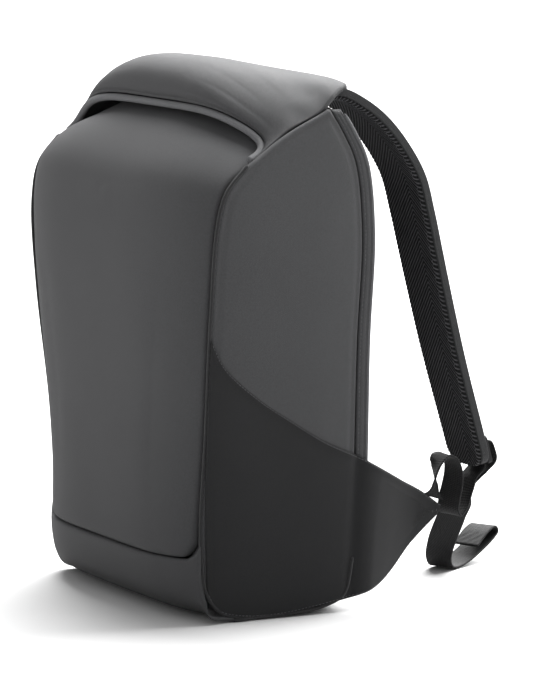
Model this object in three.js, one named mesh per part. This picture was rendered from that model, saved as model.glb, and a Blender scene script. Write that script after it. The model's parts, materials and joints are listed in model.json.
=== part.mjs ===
// Anti theft backpack standing on its base: millimetres, +Z up, front faces -Y, origin at the base centre.
import * as THREE from "three";

// Body
const SIDE_HEIGHT = 416; // floor to the apex of a side panel
const SIDE_DEPTH = 138; // front seam to back seam of a side panel
const BASE_HALF_WIDTH = 138; // centre plane to the side seams at the floor
const SHOULDER_HALF_WIDTH = 150; // the same from the shoulders up
const SHOULDER_HEIGHT = 320; // where the sides stop spreading
const BODY_TWIST = 5.7; // degrees that the soft body has turned at the top, to its left
const TWIST_FROM = 40; // height where it starts to turn
const TWIST_TO = 400;
const SIDE_CROWN = 3; // how far a side panel swells out between its seams
const SIDE_PADDING = 3.5; // thickness of the padded side panels
const FRONT_PADDING = 4;
const BASE_CLOTH = 3;
const BASE_FLATTENING = 0.3; // how far the bag's weight presses the base's low part into one plane
const FLAP_CLOTH = 3;
const BACK_PADDING = 8;
const GUSSET_CLOTH = 3;
const GUSSET_WIDTH = 8.5; // strip between a side panel and the outer face of the back
const SEAM_GAP = 0.5; // left open between two pieces sewn together
const LEFT_BOW = 0.3; // how far ribs bow back near their left end, a share of the right
const BINDING_DIAMETER = 6; // padded roll along the front hem of the flap
const BINDING_GAP = 1.2; // between the roll and the hem above it

// Wings
const WING_CLOTH = 1.6;
const WING_CLEARANCE = 0.8; // between a wing and the side panel under it
const WING_TIP_X = 112; // centre plane to the tip

// Shoulder straps
const STRAP_WIDTH = 59;
const STRAP_FOAM = 6.5; // cover and foam
const STRAP_MESH = 2.2; // air mesh on the face towards the back
const STRAP_X = 83; // centre plane to the middle of a strap
const STRAP_LENGTH = 375;
const STRAP_ROOT = { depth: 0.4058, height: 1.0163 }; // shares of SIDE_DEPTH and SIDE_HEIGHT
const LEFT_STRAP_LEAN = 15; // degrees that the left strap hangs closer to the back

// Webbing and ladder locks
const WEBBING_WIDTH = 25;
const WEBBING_THICKNESS = 1.6;
const LOCK_WIDTH = 36;
const LOCK_HEIGHT = 24;
const LOCK_THICKNESS = 4;
const LOCK_STANDOFF = 3.4; // room for the webbing behind the frame
const LOCK_UP = 10; // middle bar above the end of the strap
const LOCK_BAR = 4.5; // height of the three cross bars
const LOCK_RIM = 4;

const COLOURS = {
  shell: 0x3c3c3f,
  wing: 0x2f2f31,
  binding: 0x55565a,
  mesh: 0x141415,
  webbing: 0x1d1d1f,
  plastic: 0x161617,
};

// Side outline: depth is a share of SIDE_DEPTH behind the centre, height a share of SIDE_HEIGHT
const FRONT_SEAM = [
  { depth: -0.07, height: 0.008 },
  { depth: -0.33, height: 0.016 },
  { depth: -0.45, height: 0.058 },
  { depth: -0.486, height: 0.130 },
  { depth: -0.500, height: 0.368 },
  { depth: -0.535, height: 0.601 },
  { depth: -0.533, height: 0.774 },
  { depth: -0.480, height: 0.846 },
  { depth: -0.336, height: 0.899 },
];
const FLAP_SEAM = [
  { depth: -0.336, height: 0.899 },
  { depth: -0.060, height: 0.957 },
  { depth: 0.230, height: 1.0 },
];
const BACK_SEAM = [
  { depth: 0.152, height: 0.008 },
  { depth: 0.333, height: 0.016 },
  { depth: 0.457, height: 0.036 },
  { depth: 0.514, height: 0.108 },
  { depth: 0.514, height: 0.288 },
  { depth: 0.478, height: 0.553 },
  { depth: 0.475, height: 0.757 },
  { depth: 0.420, height: 0.889 },
  { depth: 0.326, height: 0.952 },
  { depth: 0.230, height: 1.0 },
];

// Ribs of the bands that run across the bag: each row holds the curve's end beside a side panel
// and its middle, how square the curve between them is, and how far it bows back near its right end
const FRONT_RIBS = [
  { sideDepth: -0.5, sideHeight: 0.13, midDepth: -0.66, midHeight: 0.127, square: 5 },
  { sideDepth: -0.495, sideHeight: 0.245, midDepth: -0.655, midHeight: 0.245, square: 4.6 },
  { sideDepth: -0.505, sideHeight: 0.4, midDepth: -0.66, midHeight: 0.4, square: 4.5 },
  { sideDepth: -0.53, sideHeight: 0.56, midDepth: -0.685, midHeight: 0.56, square: 4.3 },
  { sideDepth: -0.536, sideHeight: 0.697, midDepth: -0.705, midHeight: 0.7, square: 4.2 },
  { sideDepth: -0.523, sideHeight: 0.793, midDepth: -0.69, midHeight: 0.806, square: 4.5 },
  { sideDepth: -0.47, sideHeight: 0.853, midDepth: -0.64, midHeight: 0.877, square: 4.5 },
  { sideDepth: -0.345, sideHeight: 0.884, midDepth: -0.5, midHeight: 0.932, square: 4 },
  { sideDepth: -0.2, sideHeight: 0.892, midDepth: -0.29, midHeight: 0.967, square: 3.6 },
  { sideDepth: -0.08, sideHeight: 0.91, midDepth: -0.08, midHeight: 0.992, square: 3.6 },
];
const BASE_RIBS = [
  { sideDepth: -0.505, sideHeight: 0.127, midDepth: -0.66, midHeight: 0.124, square: 5, bow: 0 },
  { sideDepth: -0.498, sideHeight: 0.085, midDepth: -0.64, midHeight: 0.084, square: 5.5, bow: 0 },
  { sideDepth: -0.487, sideHeight: 0.042, midDepth: -0.6, midHeight: 0.05, square: 6.5, bow: 0.08 },
  { sideDepth: -0.46, sideHeight: 0.017, midDepth: -0.52, midHeight: 0.024, square: 8, bow: 0.2 },
  { sideDepth: -0.41, sideHeight: 0.006, midDepth: -0.43, midHeight: 0.01, square: 9, bow: 0.25 },
  { sideDepth: -0.31, sideHeight: 0.003, midDepth: -0.3, midHeight: 0.001, square: 10, bow: 0.15 },
  { sideDepth: -0.13, sideHeight: 0.003, midDepth: -0.16, midHeight: 0, square: 10, bow: 0 },
  { sideDepth: 0.13, sideHeight: 0.005, midDepth: 0.15, midHeight: 0, square: 10, bow: 0 },
  { sideDepth: 0.33, sideHeight: 0.018, midDepth: 0.37, midHeight: 0, square: 8, bow: 0 },
  { sideDepth: 0.46, sideHeight: 0.038, midDepth: 0.5, midHeight: 0.008, square: 6, bow: 0 },
  { sideDepth: 0.51, sideHeight: 0.075, midDepth: 0.56, midHeight: 0.04, square: 6, bow: 0 },
  { sideDepth: 0.52, sideHeight: 0.11, midDepth: 0.58, midHeight: 0.09, square: 6, bow: 0 },
];
const FLAP_RIBS = [
  { sideDepth: -0.29, sideHeight: 0.912, midDepth: -0.29, midHeight: 1, square: 5, bow: 0.3, reach: 1 },
  { sideDepth: -0.23, sideHeight: 0.924, midDepth: -0.315, midHeight: 1.026, square: 3.8, bow: 0.24, reach: 1 },
  { sideDepth: -0.142, sideHeight: 0.942, midDepth: -0.29, midHeight: 1.055, square: 3, bow: 0.14, reach: 1 },
  { sideDepth: -0.052, sideHeight: 0.96, midDepth: -0.19, midHeight: 1.075, square: 2.8, bow: 0.05, reach: 1 },
  { sideDepth: 0.06, sideHeight: 0.977, midDepth: -0.02, midHeight: 1.079, square: 3, bow: 0, reach: 1 },
  { sideDepth: 0.18, sideHeight: 0.994, midDepth: 0.17, midHeight: 1.067, square: 3.6, bow: 0, reach: 1 },
  { sideDepth: 0.28, sideHeight: 1.024, midDepth: 0.35, midHeight: 1.055, square: 4.4, bow: 0, reach: 0.95 },
  { sideDepth: 0.385, sideHeight: 1.038, midDepth: 0.48, midHeight: 1.046, square: 5, bow: 0, reach: 0.87 },
  { sideDepth: 0.47, sideHeight: 1.038, midDepth: 0.57, midHeight: 1.037, square: 5, bow: 0, reach: 0.8 },
];
const BACK_RIBS = [
  { sideDepth: 0.582, sideHeight: 0.113, midDepth: 0.600, midHeight: 0.113, square: 4 },
  { sideDepth: 0.582, sideHeight: 0.290, midDepth: 0.620, midHeight: 0.290, square: 4 },
  { sideDepth: 0.545, sideHeight: 0.555, midDepth: 0.600, midHeight: 0.555, square: 4 },
  { sideDepth: 0.538, sideHeight: 0.757, midDepth: 0.580, midHeight: 0.757, square: 4 },
  { sideDepth: 0.488, sideHeight: 0.889, midDepth: 0.545, midHeight: 0.900, square: 4 },
  { sideDepth: 0.405, sideHeight: 0.955, midDepth: 0.450, midHeight: 1.002, square: 5 },
];

// Wing: its upper and lower edges from the front seam to the tip, and how far it has swung to the tip
const WING_ROWS = [
  { topDepth: -0.53, topHeight: 0.562, lowDepth: -0.45, lowHeight: 0.06, swing: 0 },
  { topDepth: -0.43, topHeight: 0.508, lowDepth: -0.38, lowHeight: 0.024, swing: 0 },
  { topDepth: -0.19, topHeight: 0.442, lowDepth: -0.19, lowHeight: 0.007, swing: 0 },
  { topDepth: 0.05, topHeight: 0.392, lowDepth: 0.04, lowHeight: 0.006, swing: 0 },
  { topDepth: 0.29, topHeight: 0.345, lowDepth: 0.27, lowHeight: 0.015, swing: 0 },
  { topDepth: 0.52, topHeight: 0.311, lowDepth: 0.46, lowHeight: 0.025, swing: 0 },
  { topDepth: 0.68, topHeight: 0.283, lowDepth: 0.63, lowHeight: 0.036, swing: 0.1 },
  { topDepth: 0.88, topHeight: 0.249, lowDepth: 0.805, lowHeight: 0.062, swing: 0.45 },
  { topDepth: 1.08, topHeight: 0.216, lowDepth: 1.002, lowHeight: 0.112, swing: 0.8 },
  { topDepth: 1.225, topHeight: 0.183, lowDepth: 1.2, lowHeight: 0.164, swing: 1 },
];

// Route of a strap's middle line down from its root: shares of STRAP_LENGTH behind and below the root
const STRAP_ROUTE = [
  { behind: 0, below: 0 },
  { behind: 0.037, below: 0.0008 },
  { behind: 0.0888, below: 0.0243 },
  { behind: 0.1421, below: 0.0619 },
  { behind: 0.1955, below: 0.1195 },
  { behind: 0.2432, below: 0.1941 },
  { behind: 0.268, below: 0.2757 },
  { behind: 0.2888, below: 0.3605 },
  { behind: 0.3109, below: 0.4515 },
  { behind: 0.3499, below: 0.6048 },
  { behind: 0.3987, below: 0.7752 },
  { behind: 0.419, below: 0.8485 },
];

// Webbing past the middle bar of a ladder lock: shares of LOCK_HEIGHT out of its frame and up along the strap
const LOCK_ROUTE = [
  { out: -0.175, up: -0.583 },
  { out: -0.175, up: -0.167 },
  { out: -0.104, up: 0.133 },
  { out: 0.021, up: 0.192 },
  { out: 0.175, up: 0.217 },
  { out: 0.325, up: 0.146 },
  { out: 0.383, up: -0.167 },
  { out: 0.35, up: -0.5 },
];

// Webbing between a wing tip and its lock, then from the lock to the free end on the floor: its middle in shares
// of SHOULDER_HALF_WIDTH, SIDE_DEPTH and SIDE_HEIGHT, the turn of its width out of X in plan and its rise above
// level in degrees, the lock's face it enters and the height, as a share, of the lock that it was drawn for
const WEBBING_ROUTES = {
  right: {
    enters: "behind",
    drawnFor: 0.281,
    load: [
      { across: 0.75, depth: 1.1652, height: 0.2038, turn: -90, rise: 42 },
      { across: 0.75, depth: 1.1862, height: 0.2139, turn: -90, rise: 28 },
      { across: 0.7493, depth: 1.2, height: 0.2255, turn: -90, rise: 14 },
      { across: 0.748, depth: 1.2043, height: 0.2377, turn: -82, rise: 0 },
      { across: 0.744, depth: 1.2051, height: 0.2462, turn: -60, rise: 0 },
      { across: 0.7387, depth: 1.2051, height: 0.2548, turn: -32, rise: 0 },
      { across: 0.7333, depth: 1.2058, height: 0.2635, turn: -9, rise: 0 },
      { across: 0.7267, depth: 1.2188, height: 0.2736, turn: 0, rise: 0 },
      { across: 0.7133, depth: 1.2536, height: 0.2808, turn: 0, rise: 0 },
      { across: 0.7013, depth: 1.3043, height: 0.2769, turn: 0, rise: 0 },
      { across: 0.6907, depth: 1.3391, height: 0.2596, turn: 4, rise: 0 },
      { across: 0.684, depth: 1.3493, height: 0.238, turn: 9, rise: 0 },
      { across: 0.676, depth: 1.3449, height: 0.2163, turn: 13, rise: 0 },
      { across: 0.664, depth: 1.3333, height: 0.1899, turn: 15, rise: 0 },
      { across: 0.6533, depth: 1.3333, height: 0.1683, turn: 14, rise: 0 },
      { across: 0.64, depth: 1.3623, height: 0.1562, turn: 12, rise: 0 },
      { across: 0.6267, depth: 1.413, height: 0.1659, turn: 8, rise: 0 },
      { across: 0.6, depth: 1.471, height: 0.1971, turn: 4, rise: 0 },
      { across: 0.5733, depth: 1.5181, height: 0.2212, turn: 2, rise: 0 },
    ],
    tail: [
      { across: 0.5333, depth: 1.6304, height: 0.2368, turn: 0, rise: 0 },
      { across: 0.5133, depth: 1.5761, height: 0.2163, turn: -5, rise: 0 },
      { across: 0.4667, depth: 1.5507, height: 0.1971, turn: 5, rise: 0 },
      { across: 0.3933, depth: 1.5652, height: 0.1659, turn: 17, rise: 0 },
      { across: 0.3333, depth: 1.5652, height: 0.1418, turn: 21, rise: 0 },
      { across: 0.2733, depth: 1.5725, height: 0.1178, turn: 24, rise: 0 },
      { across: 0.2, depth: 1.5797, height: 0.0865, turn: 27, rise: 0 },
      { across: 0.14, depth: 1.587, height: 0.0577, turn: 29, rise: 0 },
      { across: 0.0933, depth: 1.6014, height: 0.0288, turn: 29, rise: 0 },
      { across: 0.0533, depth: 1.6449, height: 0.0084, turn: 29, rise: 0 },
      { across: 0.0067, depth: 1.7246, height: 0.0038, turn: 29, rise: 0 },
      { across: -0.04, depth: 1.8116, height: 0.0108, turn: 29, rise: 0 },
      { across: -0.1, depth: 1.9275, height: 0.0288, turn: 29, rise: 0 },
      { across: -0.144, depth: 2.0145, height: 0.0445, turn: 29, rise: 0 },
      { across: -0.1613, depth: 2.0507, height: 0.0565, turn: 29, rise: 0 },
      { across: -0.1507, depth: 2.029, height: 0.0673, turn: 29, rise: 0 },
      { across: -0.1133, depth: 1.9529, height: 0.0613, turn: 29, rise: 0 },
      { across: -0.0667, depth: 1.8623, height: 0.0361, turn: 29, rise: 0 },
    ],
  },
  left: {
    enters: "in front",
    drawnFor: 0.2377,
    load: [
      { across: 0.75, depth: 1.1652, height: 0.2038, turn: -90, rise: 42 },
      { across: 0.75, depth: 1.1862, height: 0.2139, turn: -90, rise: 28 },
      { across: 0.7493, depth: 1.2, height: 0.2255, turn: -90, rise: 14 },
      { across: 0.748, depth: 1.2043, height: 0.2377, turn: -82, rise: 0 },
      { across: 0.744, depth: 1.2051, height: 0.2462, turn: -60, rise: 0 },
      { across: 0.7387, depth: 1.2051, height: 0.2548, turn: -32, rise: 0 },
      { across: 0.7333, depth: 1.2058, height: 0.2635, turn: -9, rise: 0 },
      { across: 0.7267, depth: 1.2188, height: 0.2736, turn: 0, rise: 0 },
      { across: 0.7147, depth: 1.2536, height: 0.2812, turn: 0, rise: 0 },
      { across: 0.7, depth: 1.3043, height: 0.2764, turn: 0, rise: 0 },
      { across: 0.68, depth: 1.3333, height: 0.2572, turn: 0, rise: 0 },
      { across: 0.6567, depth: 1.3333, height: 0.2308, turn: 0, rise: 0 },
      { across: 0.63, depth: 1.308, height: 0.2019, turn: 0, rise: 0 },
      { across: 0.6033, depth: 1.2572, height: 0.1779, turn: 0, rise: 0 },
      { across: 0.58, depth: 1.192, height: 0.1707, turn: 0, rise: 0 },
      { across: 0.5633, depth: 1.1449, height: 0.1851, turn: 0, rise: 0 },
    ],
    tail: [
      { across: 0.56, depth: 1.029, height: 0.1442, turn: 0, rise: 0 },
      { across: 0.5533, depth: 1.029, height: 0.0817, turn: 0, rise: 0 },
      { across: 0.5533, depth: 1.0145, height: 0.0337, turn: 0, rise: 0 },
      { across: 0.5533, depth: 0.971, height: 0.0096, turn: 0, rise: 0 },
      { across: 0.5533, depth: 0.9058, height: 0.0031, turn: 0, rise: 0 },
      { across: 0.5533, depth: 0.7971, height: 0.0029, turn: 0, rise: 0 },
      { across: 0.5533, depth: 0.6812, height: 0.0029, turn: 0, rise: 0 },
    ],
  },
};

const vec = (x, y, z) => new THREE.Vector3(x, y, z);
const mix = THREE.MathUtils.lerp;
const smooth = THREE.MathUtils.smoothstep;

function halfWidth(z) {
  return mix(BASE_HALF_WIDTH, SHOULDER_HALF_WIDTH, smooth(z, 0, SHOULDER_HEIGHT));
}

function twistAt(z) {
  return THREE.MathUtils.degToRad(BODY_TWIST) * smooth(z, TWIST_FROM, TWIST_TO);
}

// The geometry turned about Z by the body's twist at each height, first mirrored for the left side
function settled(geometry, mirror = 1) {
  const place = geometry.getAttribute("position");
  const point = new THREE.Vector3();
  for (let k = 0; k < place.count; k += 1) {
    point.fromBufferAttribute(place, k);
    point.x *= mirror;
    point.applyAxisAngle(vec(0, 0, 1), twistAt(point.z));
    place.setXYZ(k, point.x, point.y, point.z);
  }
  if (mirror < 0) geometry.setIndex([...geometry.getIndex().array].reverse());
  return geometry;
}

// A curve in the Y-Z plane through the rows of a table
function outline(rows, depth = "depth", height = "height") {
  const points = rows.map((row) => vec(0, row[depth] * SIDE_DEPTH, row[height] * SIDE_HEIGHT));
  return new THREE.CatmullRomCurve3(points, false, "centripetal");
}

// Value of a column between the rows of a table, t from 0 to 1 along them
function column(rows, name, t) {
  const place = t * (rows.length - 1);
  const below = Math.min(Math.floor(place), rows.length - 2);
  return mix(rows[below][name], rows[below + 1][name], place - below);
}

// Depth of an outline at a height
function depthAt(curve, z) {
  const points = curve.getPoints(160);
  const up = points[0].z <= points[160].z ? points : points.reverse();
  const next = up.findIndex((point) => point.z >= z);
  if (next === -1) return up[160].y;
  if (next === 0) return up[0].y;
  const share = (z - up[next - 1].z) / (up[next].z - up[next - 1].z);
  return mix(up[next - 1].y, up[next].y, share);
}

function meshOf(points, faces) {
  const geometry = new THREE.BufferGeometry();
  geometry.setAttribute("position", new THREE.Float32BufferAttribute(points.flatMap((p) => [p.x, p.y, p.z]), 3));
  geometry.setIndex(faces);
  geometry.computeVertexNormals();
  return geometry;
}

// Padded sheet: a grid of points on its outer face, doubled inwards by the thickness, with a closed rim
function sheet(face, across, along, thickness) {
  const row = across + 1;
  const outer = [];
  for (let j = 0; j <= along; j += 1) {
    for (let i = 0; i <= across; i += 1) {
      outer.push(face(i / across, j / along));
    }
  }
  const at = (i, j) => outer[Math.min(Math.max(j, 0), along) * row + Math.min(Math.max(i, 0), across)];
  const inner = outer.map((point, k) => {
    const i = k % row;
    const j = Math.floor(k / row);
    const u = at(i + 1, j).clone().sub(at(i - 1, j));
    const v = at(i, j + 1).clone().sub(at(i, j - 1));
    return point.clone().addScaledVector(u.cross(v).normalize(), -thickness);
  });
  const faces = [];
  const quad = (a, b, c, d) => faces.push(a, b, c, a, c, d);
  const deep = outer.length;
  for (let j = 0; j < along; j += 1) {
    for (let i = 0; i < across; i += 1) {
      const a = j * row + i;
      quad(a, a + 1, a + 1 + row, a + row);
      quad(deep + a, deep + a + row, deep + a + 1 + row, deep + a + 1);
    }
  }
  for (let i = 0; i < across; i += 1) {
    const far = along * row + i;
    quad(i, deep + i, deep + i + 1, i + 1);
    quad(far, far + 1, deep + far + 1, deep + far);
  }
  for (let j = 0; j < along; j += 1) {
    const near = j * row;
    const far = near + across;
    quad(near, near + row, deep + near + row, deep + near);
    quad(far, deep + far, deep + far + row, far + row);
  }
  return meshOf([...outer, ...inner], faces);
}

// Solid through a row of closed rings with as many points each; crossed sides are split the other way
function loft(rings, crossed = []) {
  const size = rings[0].length;
  const points = rings.flat();
  const faces = [];
  for (let r = 0; r < rings.length - 1; r += 1) {
    for (let k = 0; k < size; k += 1) {
      const a = r * size + k;
      const b = r * size + ((k + 1) % size);
      if (crossed.includes(k)) faces.push(a, b, a + size, b, b + size, a + size);
      else faces.push(a, b, b + size, a, b + size, a + size);
    }
  }
  const last = (rings.length - 1) * size;
  for (let k = 1; k < size - 1; k += 1) {
    faces.push(0, k + 1, k);
    faces.push(last, last + k, last + k + 1);
  }
  return meshOf(points, faces);
}

// Round tube along a path that lies mostly across the bag
function tube(path, radius, steps, sides) {
  const rings = [];
  for (let k = 0; k <= steps; k += 1) {
    const centre = path.getPointAt(k / steps);
    const tangent = path.getTangentAt(k / steps);
    const up = vec(0, 1, 0).cross(tangent).normalize();
    const out = tangent.clone().cross(up);
    rings.push(
      Array.from({ length: sides }, (_, j) => {
        const angle = (2 * Math.PI * j) / sides;
        return centre
          .clone()
          .addScaledVector(up, radius * Math.cos(angle))
          .addScaledVector(out, radius * Math.sin(angle));
      }),
    );
  }
  return loft(rings);
}

// Flat webbing along a route whose points also hold the direction of its width
function ribbon(route, width, thickness, steps) {
  const centre = new THREE.CatmullRomCurve3(route.map((row) => row.place), false, "centripetal");
  const rings = [];
  for (let k = 0; k <= steps; k += 1) {
    const t = k / steps;
    const tangent = centre.getTangent(t);
    const stretch = t * (route.length - 1);
    const from = Math.min(Math.floor(stretch), route.length - 2);
    const across = route[from].width.clone().lerp(route[from + 1].width, stretch - from);
    across.addScaledVector(tangent, -across.dot(tangent)).normalize();
    const out = tangent.clone().cross(across);
    const at = (w, n) => centre.getPoint(t).addScaledVector(across, w).addScaledVector(out, n);
    const wide = width / 2;
    const deep = thickness / 2;
    rings.push([at(-wide, -deep), at(wide, -deep), at(wide, deep), at(-wide, deep)]);
  }
  return loft(rings, [2]);
}

// How far back a rib bows at a place across the bag, for a bow of 1: most of all near its right end
function bowAt(u) {
  return SIDE_DEPTH * (u > 0 ? 1 : LEFT_BOW) * u ** 6 * (1 - u ** 14);
}

// Band across the bag between the side panels, its ribs curved from the seam to the middle
function band(rows, across, along, thickness, inset, turned = false) {
  const side = outline(rows, "sideDepth", "sideHeight");
  const mid = outline(rows, "midDepth", "midHeight");
  const face = (i, t) => {
    const even = turned ? 1 - 2 * i : 2 * i - 1;
    const u = mix(even, Math.sin((Math.PI * even) / 2), 0.7);
    const edge = side.getPoint(t);
    const middle = mid.getPoint(t);
    const rise = 1 - Math.abs(u) ** column(rows, "square", t);
    const reach = rows[0].reach ? column(rows, "reach", t) : 1;
    const bow = "bow" in rows[0] ? column(rows, "bow", t) * bowAt(u) : 0;
    const y = mix(edge.y, middle.y, rise) + bow;
    const z = mix(edge.z, middle.z, rise) - BASE_FLATTENING;
    return vec(u * (halfWidth(edge.z) - inset) * reach, y, Math.max(z, 0));
  };
  return sheet(face, across, along, thickness);
}

const frontSeam = outline(FRONT_SEAM);
const flapSeam = outline(FLAP_SEAM);
const backSeam = outline(BACK_SEAM);
const SIDE_FOOT = FRONT_SEAM[0].height * SIDE_HEIGHT;
const CORNER_HEIGHT = FLAP_SEAM[0].height * SIDE_HEIGHT;
const bandInset = SIDE_PADDING + SEAM_GAP;

function sideFront(z) {
  return z < CORNER_HEIGHT ? depthAt(frontSeam, z) : depthAt(flapSeam, z);
}

// Outer face of the right side panel
function sideFace(y, z) {
  const front = sideFront(z);
  const back = depthAt(backSeam, z);
  const across = (2 * (y - front)) / Math.max(back - front, 1) - 1;
  const up = (2 * (z - SIDE_FOOT)) / (SIDE_HEIGHT - SIDE_FOOT) - 1;
  const swell = Math.max(0, 1 - Math.abs(across) ** 4) * Math.max(0, 1 - Math.abs(up) ** 6);
  return halfWidth(z) + SIDE_CROWN * swell;
}

function sidePanel() {
  const face = (i, t) => {
    const low = 0.5 - 0.5 * Math.cos(Math.PI * t);
    const z = mix(SIDE_FOOT, SIDE_HEIGHT - 1, mix(t, low, 0.7));
    const y = mix(sideFront(z), depthAt(backSeam, z), i);
    return vec(sideFace(y, z), y, z);
  };
  return sheet(face, 10, 20, SIDE_PADDING);
}

// Strip behind a side panel, from the base up to the apex
function gusset() {
  const rings = [];
  const low = 0.115 * SIDE_HEIGHT;
  for (let k = 0; k <= 22; k += 1) {
    const z = mix(low, SIDE_HEIGHT - 2, k / 22);
    const y = depthAt(backSeam, z) + SEAM_GAP;
    const x = halfWidth(z);
    const far = y + GUSSET_WIDTH;
    rings.push([vec(x - GUSSET_CLOTH, y, z), vec(x, y, z), vec(x, far, z), vec(x - GUSSET_CLOTH, far, z)]);
  }
  return loft(rings);
}

// Padded roll along the front hem of the flap
function binding() {
  const side = outline(FLAP_RIBS, "sideDepth", "sideHeight").getPoint(0);
  const mid = outline(FLAP_RIBS, "midDepth", "midHeight").getPoint(0);
  const hem = [];
  for (let k = 0; k <= 32; k += 1) {
    const u = Math.sin(Math.PI * (k / 32 - 0.5));
    const rise = 1 - Math.abs(u) ** FLAP_RIBS[0].square;
    const bow = FLAP_RIBS[0].bow * bowAt(u);
    const x = u * (halfWidth(side.z) - bandInset);
    hem.push(vec(x, mix(side.y, mid.y, rise) + bow, mix(side.z, mid.z, rise)));
  }
  const edge = new THREE.CatmullRomCurve3(hem, false, "centripetal");
  const drop = BINDING_DIAMETER / 2 + BINDING_GAP;
  const points = [];
  for (let k = 0; k <= 32; k += 1) {
    const tangent = edge.getTangentAt(k / 32);
    const inward = vec(tangent.z, 0, -tangent.x).normalize();
    const forward = mix(0.17, 0.25, smooth(k, 0, 8)) * BINDING_DIAMETER;
    points.push(edge.getPointAt(k / 32).addScaledVector(inward, drop).add(vec(0, -forward, 0)));
  }
  const path = new THREE.CatmullRomCurve3(points, false, "centripetal");
  return tube(path, BINDING_DIAMETER / 2, 36, 8);
}

function wing() {
  const top = outline(WING_ROWS, "topDepth", "topHeight");
  const low = outline(WING_ROWS, "lowDepth", "lowHeight");
  const off = WING_CLEARANCE + WING_CLOTH;
  const face = (i, t) => {
    const high = top.getPoint(i);
    const point = high.lerp(low.getPoint(i), 1 - t);
    const swing = smooth(column(WING_ROWS, "swing", i), 0, 1);
    const backEdge = depthAt(backSeam, point.z);
    const onSide = sideFace(Math.min(point.y, backEdge), point.z) + off;
    return vec(mix(onSide, WING_TIP_X, swing), point.y, point.z);
  };
  return sheet(face, 16, 9, WING_CLOTH);
}

// Middle line of a strap, turned towards the back by a lean that the arch takes up
function strapLine(lean) {
  const points = [vec(0, STRAP_ROOT.depth * SIDE_DEPTH, STRAP_ROOT.height * SIDE_HEIGHT)];
  for (let k = 1; k < STRAP_ROUTE.length; k += 1) {
    const step = vec(
      0,
      (STRAP_ROUTE[k].behind - STRAP_ROUTE[k - 1].behind) * STRAP_LENGTH,
      (STRAP_ROUTE[k - 1].below - STRAP_ROUTE[k].below) * STRAP_LENGTH,
    );
    const turn = THREE.MathUtils.degToRad(lean) * smooth(k, 1, 7);
    step.applyAxisAngle(vec(1, 0, 0), -turn);
    points.push(points[k - 1].clone().add(step));
  }
  return new THREE.CatmullRomCurve3(points, false, "centripetal");
}

// Slab along a strap's middle line: rounded end, between two distances out of the line
function strapLayer(lean, from, to, trim) {
  const line = strapLine(lean);
  const rings = [];
  const stations = 34;
  for (let k = 0; k <= stations; k += 1) {
    const t = k / stations;
    const centre = line.getPointAt(t);
    const tangent = line.getTangentAt(t);
    const out = vec(1, 0, 0).cross(tangent).normalize();
    const left = (1 - t) * line.getLength();
    const corner = 14;
    const cut = left < corner ? corner - Math.sqrt(corner ** 2 - (corner - left) ** 2) : 0;
    const half = STRAP_WIDTH / 2 - trim - cut;
    const at = (x, n) => centre.clone().addScaledVector(out, n).setX(STRAP_X + x);
    rings.push([at(-half, from), at(-half, to), at(half, to), at(half, from)]);
  }
  return loft(rings);
}

const strapInner = -(STRAP_FOAM + STRAP_MESH + SEAM_GAP) / 2;
const strapMiddle = strapInner + STRAP_MESH;
const strapOuter = strapMiddle + SEAM_GAP + STRAP_FOAM;
const lockOut = strapOuter + LOCK_STANDOFF + LOCK_THICKNESS / 2;

// Where a ladder lock sits on the end of a strap: a group whose +Y points out and whose +Z points up the strap
function lockPlace(lean) {
  const line = strapLine(lean);
  const tangent = line.getTangentAt(1);
  const place = new THREE.Group();
  place.rotation.x = Math.atan2(tangent.y, -tangent.z);
  place.position.copy(line.getPointAt(1)).setX(STRAP_X);
  place.position.add(vec(0, lockOut, LOCK_UP).applyEuler(place.rotation));
  place.updateMatrix();
  return place;
}

// Load webbing, its turn over the lock's middle bar and the free tail, as one piece that follows the lock up and down
function webbing(name, lean) {
  const place = lockPlace(lean);
  const turned = ({ across, depth, height, turn, rise }) => {
    const plan = THREE.MathUtils.degToRad(turn);
    const lift = THREE.MathUtils.degToRad(rise);
    const flat = Math.cos(lift);
    return {
      place: vec(across * SHOULDER_HALF_WIDTH, depth * SIDE_DEPTH, height * SIDE_HEIGHT),
      width: vec(flat * Math.cos(plan), flat * Math.sin(plan), Math.sin(lift)),
    };
  };
  const overBar = LOCK_ROUTE.map(({ out, up }) => {
    const at = vec(0, out * LOCK_HEIGHT, up * LOCK_HEIGHT);
    return { place: at.applyMatrix4(place.matrix), width: vec(1, 0, 0) };
  });
  const { enters, drawnFor, load, tail } = WEBBING_ROUTES[name];
  if (enters === "in front") overBar.reverse();
  const shift = place.position.z - drawnFor * SIDE_HEIGHT;
  const led = (rows, follow) => rows.map((row, k) => {
    const end = turned(row);
    const height = end.place.z + shift * follow(k / (rows.length - 1));
    end.place.z = Math.max(height, WEBBING_THICKNESS / 2);
    return end;
  });
  const rising = led(load, (share) => smooth(share, 0.45, 1));
  const falling = led(tail, (share) => 1 - smooth(share, 0, 0.5));
  const route = [...rising, ...overBar, ...falling];
  return ribbon(route, WEBBING_WIDTH, WEBBING_THICKNESS, 3 * (route.length - 1));
}

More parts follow.
